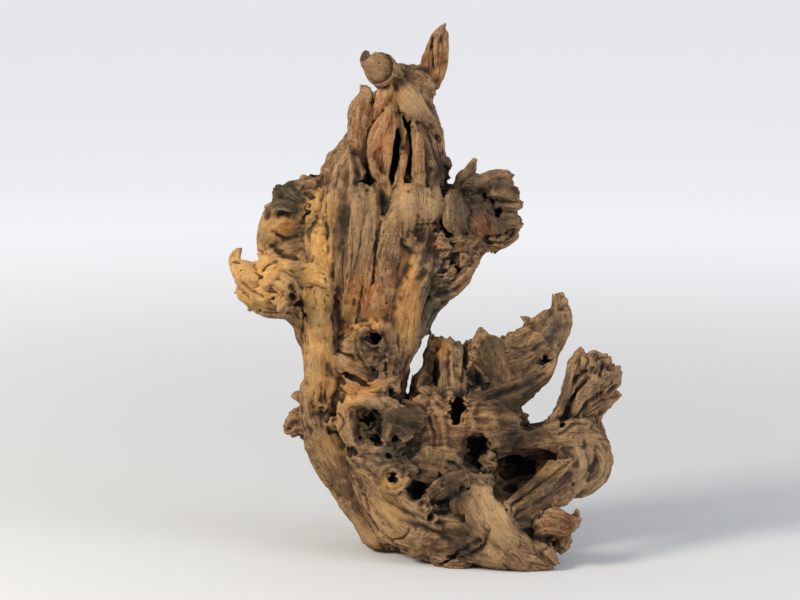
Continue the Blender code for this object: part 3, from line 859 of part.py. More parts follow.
def calmness(points):
    """How smooth the wood is worn at each point: 0 is rough, 1 is smooth."""
    sheet = to_sheet(points)
    calm = CALM_AT_LEAST + CALM_GAIN * wave(points, CALM_WIDTH, shift=31.7)
    for across, down, wide, high, strength in CALM:
        gap = ((sheet[:, 0] - across) / wide) ** 2 + ((sheet[:, 1] - down) / high) ** 2
        calm = np.maximum(calm, strength * np.exp(-gap * gap))
    return np.clip(calm, 0, 1)


def raise_grain(piece):
    """Raises the flutes, fibres, scoops, lumps and creases out of the surface, and frays the ends."""
    mesh = piece.data
    points = vertex_rows(mesh, "co")
    normals = vertex_rows(mesh, "normal")
    grain = Grain({**LIMBS, **FLAKES})
    row = grain.nearest(points)
    stray = [WANDER * wave(points, WANDER_WIDTH, shift=start) for start in (11.3, 27.7, 41.9)]
    stray = np.stack(stray, axis=1)
    place = grain.place(points, row) + stray
    shift = grain.shift[row]
    slim = np.clip(grain.radius[row] / SLIM_LIMB, SLIMMEST, 1)
    rough = 1 - calmness(points)
    share = SMOOTH_SHARE + ROUGH_SHARE * rough
    flute = CREST - 2 * abs(wave(place, FLUTE_WIDTH, GRAIN_STRETCH, shift))
    fibre = CREST - 2 * abs(wave(place, FIBRE_WIDTH, GRAIN_STRETCH, shift + 17.1))
    scoop = SCOOP_CREST - 2 * abs(wave(place, SCOOP_WIDTH, SCOOP_STRETCH, shift + 29.3))
    lump = wave(points + stray, LUMP_WIDTH, shift=5.5)
    bump = wave(points + stray, BUMP_WIDTH, shift=63.1)
    rise = share * (FLUTE_HEIGHT * flute + FIBRE_HEIGHT * fibre + SCOOP_HEIGHT * scoop)
    rise += LUMP_HEIGHT * lump + rough * BUMP_HEIGHT * bump
    rise = slim * rise + creases(points, normals)
    broken = abs((normals * grain.along[row]).sum(axis=1))
    splinter = SPLINTER_REACH * broken * wave(place, SPLINTER_WIDTH, SPLINTER_STRETCH, shift + 43.7)
    crumble = [wave(points, CRUMBLE_WIDTH, shift=start) for start in (71.3, 83.9, 97.1)]
    crumble = share[:, None] * CRUMBLE * np.stack(crumble, axis=1)
    points += normals * rise[:, None] + grain.along[row] * splinter[:, None] + crumble
    mesh.vertices.foreach_set("co", points.ravel())
    mesh.update()
    saw_off(piece)


def saw_off(piece):
    """Presses the end of the sawn branch back to the flat face that the saw left."""
    points = vertex_rows(piece.data, "co")
    gap = np.linalg.norm((to_sheet(points) - SAW_MIDDLE) * SQUARE, axis=1)
    face = SAW_DEPTH * SQUARE - ORIGIN[1]
    proud = (gap < SAW_RADIUS) & (points[:, 1] < face)
    points[proud, 1] = face
    piece.data.vertices.foreach_set("co", points.ravel())
    piece.data.update()


def grow_root():
    """The whole root, before it is thinned to its last faces."""
    root = limbs_object("dry_root", LIMBS, LIMB_SIDES)
    roughen(root, LIMB_ROUGHNESS, LIMB_ROUGH_WIDTH)
    remesh(root, VOXEL, soften=2)
    fill_clefts(root, CLEFT / 2, VOXEL)
    flakes = limbs_object("flakes", FLAKES, LIMB_SIDES)
    roughen(flakes, LIMB_ROUGHNESS, LIMB_ROUGH_WIDTH)
    take_in(root, flakes)
    remesh(root, VOXEL, soften=1)
    hollows = limbs_object("hollows", HOLLOWS, HOLLOW_SIDES)
    roughen(hollows, HOLLOW_ROUGHNESS, HOLLOW_ROUGH_WIDTH)
    remesh(hollows, VOXEL * 0.6)
    cut_out(root, hollows)
    take_in(root, limbs_object("inner lumps", INNER, HOLLOW_SIDES))
    remesh(root, VOXEL, soften=1)
    keep_largest(root)
    raise_grain(root)
    remesh(root, VOXEL)
    keep_largest(root)
    return root


def thin_faces(piece, triangles):
    """Collapses the flatter faces until about this many triangles are left."""
    mesh = piece.data
    mesh.calc_loop_triangles()
    thin = piece.modifiers.new("fewer faces", "DECIMATE")
    thin.ratio = triangles / len(mesh.loop_triangles)
    thin.use_collapse_triangulate = True
    apply_modifiers(piece)


def stand_flat(piece):
    """Cuts the feet off level with the ground."""
    bm = bmesh.new()
    bmesh.ops.create_cube(bm, size=1)
    bmesh.ops.scale(bm, vec=GROUND_SIZE, verts=bm.verts)
    bmesh.ops.translate(bm, vec=(0, 0, -GROUND_SIZE[2] / 2), verts=bm.verts)
    mesh = bpy.data.meshes.new("ground")
    bm.to_mesh(mesh)
    bm.free()
    ground = bpy.data.objects.new("ground", mesh)
    bpy.context.scene.collection.objects.link(ground)
    cut_out(piece, ground)


def weathered_wood():
    """Dry bare wood: brown, rough, with no varnish."""
    material = bpy.data.materials.new("weathered_wood")
    material.use_nodes = True
    shader = material.node_tree.nodes["Principled BSDF"]
    shader.inputs["Base Color"].default_value = (0.30, 0.17, 0.085, 1)
    shader.inputs["Roughness"].default_value = 0.85
    shader.inputs["Metallic"].default_value = 0
    return material


def main():
    for old in list(bpy.data.objects):
        bpy.data.objects.remove(old)
    root = grow_root()
    thin_faces(root, TRIANGLES)
    stand_flat(root)
    keep_largest(root)
    root.data.materials.clear()
    root.data.materials.append(weathered_wood())
    collection = bpy.data.collections.new("dry_root")
    bpy.context.scene.collection.children.link(collection)
    collection.objects.link(root)
    bpy.context.scene.collection.objects.unlink(root)


main()
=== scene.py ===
# The looks of a dry, weathered root: the same limbs and hollows as the solid, grown together on a
# finer grid, with its grain, cracks and torn fibres, in bare sun-dried wood.
import math
import random

import bmesh
import bpy
import numpy as np
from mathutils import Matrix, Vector, bvhtree, kdtree, noise


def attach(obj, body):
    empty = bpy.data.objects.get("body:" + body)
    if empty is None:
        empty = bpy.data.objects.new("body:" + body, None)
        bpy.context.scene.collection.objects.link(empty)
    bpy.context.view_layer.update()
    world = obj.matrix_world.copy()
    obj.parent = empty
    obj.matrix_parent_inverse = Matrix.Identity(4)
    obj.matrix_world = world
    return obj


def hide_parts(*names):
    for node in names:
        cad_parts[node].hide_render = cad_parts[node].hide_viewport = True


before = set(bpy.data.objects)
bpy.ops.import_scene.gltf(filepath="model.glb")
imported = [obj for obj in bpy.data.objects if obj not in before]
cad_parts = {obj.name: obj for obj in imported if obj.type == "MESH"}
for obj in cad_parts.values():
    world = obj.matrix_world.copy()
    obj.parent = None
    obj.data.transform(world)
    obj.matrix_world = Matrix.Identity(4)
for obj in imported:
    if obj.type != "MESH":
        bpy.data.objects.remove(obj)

# the drawing and the coarse relief, as the solid has them, in metres
SQUARE = 0.0015               # one square of the drawing that the limbs are set out on
VIEW_DISTANCE = 4.5           # the drawing is a view from this far away
VIEW_DOWN = math.radians(8.0)  # and looks down on the root by this much
FLUTE_WIDTH, FLUTE_HEIGHT = 0.022, 0.0032    # broad ridges that run along the grain
FIBRE_WIDTH, FIBRE_HEIGHT = 0.010, 0.0016    # narrow ridges between them
SCOOP_WIDTH, SCOOP_HEIGHT = 0.038, 0.0042    # worn hollows with crisp edges between them
LUMP_WIDTH, LUMP_HEIGHT = 0.060, 0.0030      # swellings that follow no grain
BUMP_WIDTH, BUMP_HEIGHT = 0.018, 0.0022
SPLINTER_WIDTH, SPLINTER_REACH = 0.008, 0.011   # how far strands stick out where the wood is broken
CRUMBLE, CRUMBLE_WIDTH = 0.0022, 0.011       # how ragged every edge is
SAW_RADIUS = 0.026            # the sawn branch, past its bark side
CLEFT = 0.012                 # clefts between limbs narrower than this are grown over
LIMB_ROUGHNESS, LIMB_ROUGH_WIDTH = 0.0022, 0.024      # how far the limbs' skins are bent
HOLLOW_ROUGHNESS, HOLLOW_ROUGH_WIDTH = 0.0024, 0.015  # and those of the hollows
GRAIN_STRETCH = 6.0           # how many times longer than wide a ridge is
SLIM_LIMB = 0.016             # limbs of a smaller radius carry lower ridges
WANDER = 0.006                # how far a ridge strays from a straight line
SHEET_MIDDLE = (400, 300)
FRONT_FOOT = (550, 572, -90)  # the lowest point of the near foot stands on the ground
ORIGIN_ACROSS, ORIGIN_BACK = 424.8, 2.9   # the middle of the root's box
VOXEL = 0.0021                # finer than the solid's
PATH_STEP = 0.004
LIMB_SIDES = 56
HOLLOW_SIDES = 40
TRIANGLES = 195000            # about this many triangles are left in the one piece; one piece stays under 200,000

# what only the looks have, in metres
STRAND_SPACING, STRAND_HEIGHT = 0.0048, 0.0010   # strands between the narrow ridges
CHECK_SPACING, CHECK_DEPTH = 0.016, 0.0022       # drying cracks along the grain
WORM_SPACING, WORM_DEPTH = 0.020, 0.0030         # beetle holes, drawn a little wide to show
CHIP_WIDTH, CHIP_HEIGHT = 0.008, 0.0009          # crumbled wood where no grain shows
THINNEST = 0.0006             # a limb's tip is never thinner than this
NEARLY_STRAIGHT_BACK = 0.94   # a limb that starts this nearly along +Y takes its depth upwards
TWIST = 14.0                  # radians a metre that a limb's flutes may turn
FLUTES = ((2, 0.5), (3, 0.6), (5, 0.55), (8, 0.4), (13, 0.25))   # how many round a limb, and their share
DOME = ((0.20, 0.92), (0.34, 0.70), (0.42, 0.36))   # how far out and how wide the rings of a limb's end are
GRAIN_SEED = 7
GRAIN_STEP = 0.006
GRAIN_NEAR = 14               # centre-line rows looked at for each point
WANDER_WIDTH = 0.05
SLIMMEST = 0.15
SCOOP_STRETCH = 2.2
SPLINTER_STRETCH = 10
SAW_MIDDLE, SAW_DEPTH = (376, 67), -9     # on the drawing
CALM_WIDTH = 0.11             # the grain is faint in broad patches
CALM_AT_LEAST, CALM_GAIN = 0.35, 0.9
SMOOTH_SHARE, ROUGH_SHARE = 0.18, 0.85    # how much of the relief shows where it is calm, and on top of it
CREST, SCOOP_CREST = 0.5, 0.35            # how high a ridge's crest stands over the mean surface
FACING_GAIN = 1.6             # creases fade where the surface turns away from the drawing
GRAIN_OFFSET = 0.35           # how far apart the limbs' patterns are drawn, in metres for a shift of 1
BUMP_SCALE = 0.0011           # the material's own relief, for a height of 1
SHELTER_RAYS = 14
SHELTER_REACH = 0.070
SHELTER_START = 0.0006        # a ray leaves this far above the surface
SHELTER_SPREAD = 0.9          # how near the rays come to lying on the surface: 1 is flat
CRESTS = (("crest_fine", 3, 0.0010), ("crest_broad", 24, 0.0045))   # name, rounds of smoothing, height
KEPT, TAKEN = 0.3, 0.7        # of a point and of its neighbours, in a round of smoothing
ZONE_STRAY = ((0.03, 3.3, 1.0), (0.012, 8.8, 0.6))    # how the zones' edges wander: width, shift, share
ZONE_FRAY = 0.7
SLIM_AT_LEAST, CALM_SLIMS = 0.2, 0.6      # fine relief left on the thinnest limb, and lost where it is calm
ROT_SMOOTHS, ROT_CRUMBLES = -0.75, 0.3    # what rotten wood loses of its strands and gains in chips
STRAND_STRETCH, CHECK_STRETCH = 8, 9      # a cell's length along the grain over its width
NOISE_GAIN = 4.0              # noise strays about a quarter from its middle
STRAND_LIFT = 0.4
CHECK_OPENING = 0.09          # of a cell
CHECK_PATCHES, CHECK_FROM, CHECK_TO = 14.0, 0.46, 0.62      # patches a metre, and where in them checks open
WORM_BOTTOM, WORM_RIM = 0.10, 0.20        # of a cell
# the material's patterns, in metres: streaks (width, stretch, detail, roughness),
# then speckles (width, detail, roughness)
STREAKS = {"broad": (0.016, 7, 3, 0.6), "middle": (0.0055, 9, 3, 0.6), "fine": (0.0019, 12, 2, 0.7)}
SPECKLES = {"blotch": (0.030, 4, 0.6), "grit": (0.0035, 3, 0.7), "crumb": (0.016, 6, 0.72)}
SPLIT_WIDTH, SPLIT_LENGTH = 0.011, 0.11
# the masks of the material: low and high of what each is read from, and what it gives at both
MASKS = {
    "crumbly": (0.45, 0.7, 0.15, 0.7),        # where rotten crumbs mix in
    "tone": (0.34, 0.68, 0.0, 1.0),           # dark streak to pale streak
    "stained": (0.50, 0.72, 0.0, 0.35),
    # pale crests and edges: partly wear, partly painted highlight
    "ridge": (0.0, 0.8, 0.0, 1.0),
    "ridge_broken": (0.35, 0.6, 0.0, 1.0),
    "ridge_dusky": (0.1, 0.8, 0.42, 0.03),    # what dusky wood and painted shade leave of it
    "edge": (0.1, 0.9, 0.0, 0.5),
    "edge_strand": (0.4, 0.6, 0.0, 1.0),
    "edge_dusky": (0.1, 0.8, 1.0, 0.12),
    "split": (0.0, 0.05, 1.0, 0.0),           # of a cell
    "split_where": (0.54, 0.66, 0.0, 1.0),
    "split_rotten": (0.1, 0.6, 1.0, 0.15),    # fewer splits in rotten wood
    "worm": (0.10, 0.17, 1.0, 0.0),           # of a cell
    "worm_where": (0.56, 0.64, 0.0, 1.0),
    "low_fine": (-0.15, -0.9, 0.0, 0.68),     # painted shade in low places
    "low_broad": (-0.05, -0.8, 0.0, 0.72),
    "deep": (0.30, 0.70, 0.0, 0.97),          # painted shade: near-black in shelter
    "rough": (0.3, 0.7, 0.92, 0.74),          # of the surface
}
# how much of each pattern goes into sound wood's streaks and rotten wood's crumbs
SOUND_MIX = (("broad", 0.40), ("fine", 0.30), ("middle", 0.30))
ROTTEN_MIX = (("blotch", 0.25), ("grit", 0.25), ("crumb", 0.5))
ROTTEN_SHARE = 0.65
# how dark the painted shade in the cracks and pits is
SPLIT_DARK, WORM_DARK = 0.85, 0.9
# the fine relief, as shares of BUMP_SCALE: grit first, then what is laid over it
GRIT_RELIEF = 0.35
RELIEF = (("middle", 0.9), ("fine", 0.30), ("split", -0.9), ("worm", -1.3))
WOOD_SHEEN = 0.25
WORM_SHADE_SPACING = 0.011            # spacing of the pits painted dark as shade, which are wider than real ones so that they show
WEATHERING = {
    "Strand spacing": STRAND_SPACING, "Strand height": STRAND_HEIGHT,
    "Check spacing": CHECK_SPACING, "Check depth": CHECK_DEPTH,
    "Worm spacing": WORM_SPACING, "Worm depth": WORM_DEPTH,
    "Chip width": CHIP_WIDTH, "Chip height": CHIP_HEIGHT, "Seed": 4.0,
}

# the studio
CAMERA_LENS, SENSOR_WIDTH = 135, 36      # millimetres
CAMERA_REACH = 100            # metres, past the floor's rim
FLOOR_RADIUS = 32.0
SKY_COLOUR, SKY_STRENGTH = "#E6E8EC", 0.78
FLOOR_DROP = 0.0003           # the paper lies this far under the sole, so the two do not fight
PAPER = ("#C4C5C4", "#F2F2F3")
SWEEP = (0.4, 4.6)            # metres from the middle over which the paper turns paler, painted light towards the backdrop
GLOW_COLOUR, FAR_GLOW = "#EDEEF2", 0.27   # painted light: the paper glows like a lit backdrop where it sweeps away
LIGHT_AIM = (0, 0, 0.4)
# name, place, size across, watts, colour
LIGHTS = (
    ("window", (-2.9, -1.8, 2.4), 1.5, 185, "#FFF6EA"),
    ("bounce", (2.6, -1.6, 1.2), 2.4, 72, "#EEF2FF"),
)

# the nodes used most, by Blender's names for them
MATH, VECTOR_MATH, RANGE = "ShaderNodeMath", "ShaderNodeVectorMath", "ShaderNodeMapRange"
NOISE, VORONOI = "ShaderNodeTexNoise", "ShaderNodeTexVoronoi"

# shades of the wood: dark streaks, middle, pale streaks
SHADES = {
    "brown": ("#322216", "#5B412A", "#816140"),
    "ochre": ("#835A2C", "#B28547", "#DCB273"),
    "amber": ("#5C3316", "#9A642E", "#CB9350"),
    "red": ("#43220F", "#824B22", "#A66B35"),
    # partly darker wood, partly painted shade in hollows, under overhangs and on sides turned from the
    # light
    "dusky_and_shade": ("#150F08", "#362A19", "#67533A"),
    "grey": ("#231E15", "#4A4131", "#736850"),
    "pale": ("#5A4129", "#8A6D4B", "#AE9067"),
    "stain": "#33241A",
    # pale for crests and edges: partly wear, partly painted highlight
    "worn": "#A08058",
    # painted shade for low places
    "low_shade": "#1C130A",
    # near-black painted shade for cracks, pits and sheltered hollows
    "hole": "#0B0905",
}

# where each shade shows on the drawing: (across, down, half width, half height, strength)
ZONES = {
    # the dusky spots are partly darker wood and partly painted shade, set where hollows, undersides and
    # turned-away sides fall dark
    "dusky_and_shade": [(520, 396, 48, 30, 0.75), (455, 470, 50, 50, 0.5), (482, 204, 44, 42, 0.85),
        (505, 392, 36, 17, 1.0), (484, 382, 20, 24, 0.95), (435, 366, 10, 26, 0.9),
        (372, 424, 18, 22, 0.9), (400, 456, 26, 15, 0.95), (450, 492, 25, 24, 1.0),
        (468, 545, 24, 28, 1.0), (296, 226, 12, 18, 0.9), (520, 470, 36, 32, 0.8),
        (474, 198, 14, 12, 1.0), (416, 490, 12, 12, 1.0), (406, 421, 28, 16, 1.0),
        (520, 432, 34, 18, 0.85), (566, 396, 8, 26, 0.7), (374, 338, 10, 9, 1.0), (370, 348, 22, 20, 0.6),
        (518, 476, 36, 28, 1.0), (476, 452, 18, 22, 1.0), (364, 165, 6, 22, 0.8), (385, 204, 8, 17, 0.95),
        (428, 160, 5, 30, 0.7), (300, 206, 14, 18, 0.85), (280, 192, 19, 18, 1.0),
        (552, 326, 16, 28, 0.4), (500, 354, 26, 20, 0.95), (350, 356, 14, 20, 0.15),
        (325, 462, 18, 28, 0.4), (562, 524, 16, 14, 0.6), (430, 326, 14, 42, 0.8), (335, 314, 6, 16, 0.9),
        (338, 262, 8, 44, 0.1), (444, 172, 12, 20, 0.8), (363, 55, 6, 8, 0.85), (512, 224, 8, 10, 0.6),
        (518, 520, 14, 12, 0.9), (452, 226, 12, 20, 0.5)],
    "grey": [(278, 205, 13, 9, 0.6), (298, 194, 14, 10, 0.5), (492, 182, 26, 10, 0.3),
        (432, 300, 18, 45, 0.7), (406, 418, 20, 8, 0.15), (352, 190, 5, 26, 0.2), (452, 206, 12, 16, 0.6),
        (590, 372, 24, 22, 0.3), (461, 350, 6, 14, 0.9), (554, 324, 14, 26, 0.4),
        (338, 240, 10, 36, 0.12), (378, 452, 40, 26, 0.3)],
    "ochre": [(316, 268, 17, 76, 1.0), (318, 352, 15, 56, 0.9), (256, 276, 38, 34, 1.0),
        (276, 228, 16, 12, 0.85), (334, 446, 18, 24, 0.3), (318, 208, 16, 18, 0.8),
        (408, 300, 12, 42, 0.8), (374, 322, 26, 8, 0.5), (350, 374, 18, 10, 0.2), (384, 518, 20, 20, 0.5),
        (350, 361, 18, 16, 0.2), (400, 200, 20, 40, 0.25), (552, 470, 24, 8, 0.3),
        (346, 396, 26, 12, 0.6), (392, 484, 12, 8, 0.6), (440, 345, 10, 10, 0.4),
        (410, 100, 16, 14, 0.55)],
    "amber": [(372, 300, 34, 28, 0.6), (409, 300, 11, 44, 0.75), (352, 386, 30, 12, 0.7),
        (330, 404, 18, 20, 0.4), (282, 226, 14, 12, 0.5), (440, 347, 10, 12, 0.6),
        (350, 318, 14, 20, 0.5), (386, 98, 9, 16, 0.7)],
    "red": [(383, 136, 15, 46, 1.0), (438, 62, 15, 28, 0.5), (404, 155, 6, 42, 0.6),
        (418, 150, 7, 26, 0.5), (380, 290, 20, 28, 0.4), (466, 424, 44, 26, 0.16),
        (562, 524, 18, 16, 0.45), (435, 244, 8, 8, 0.6), (484, 228, 10, 14, 0.3), (360, 125, 8, 30, 0.45),
        (382, 176, 8, 8, 0.6)],
    "pale": [(414, 106, 17, 16, 1.0), (492, 514, 22, 46, 0.95), (362, 225, 14, 40, 0.3),
        (374, 92, 14, 10, 0.4), (377, 67, 12, 14, 0.75), (545, 365, 14, 8, 0.5), (588, 362, 10, 11, 0.6),
        (420, 204, 24, 24, 0.5), (502, 366, 22, 22, 0.15), (590, 462, 20, 30, 0.75),
        (372, 530, 30, 22, 0.8), (345, 168, 8, 24, 0.4), (585, 400, 18, 20, 0.25)],
}

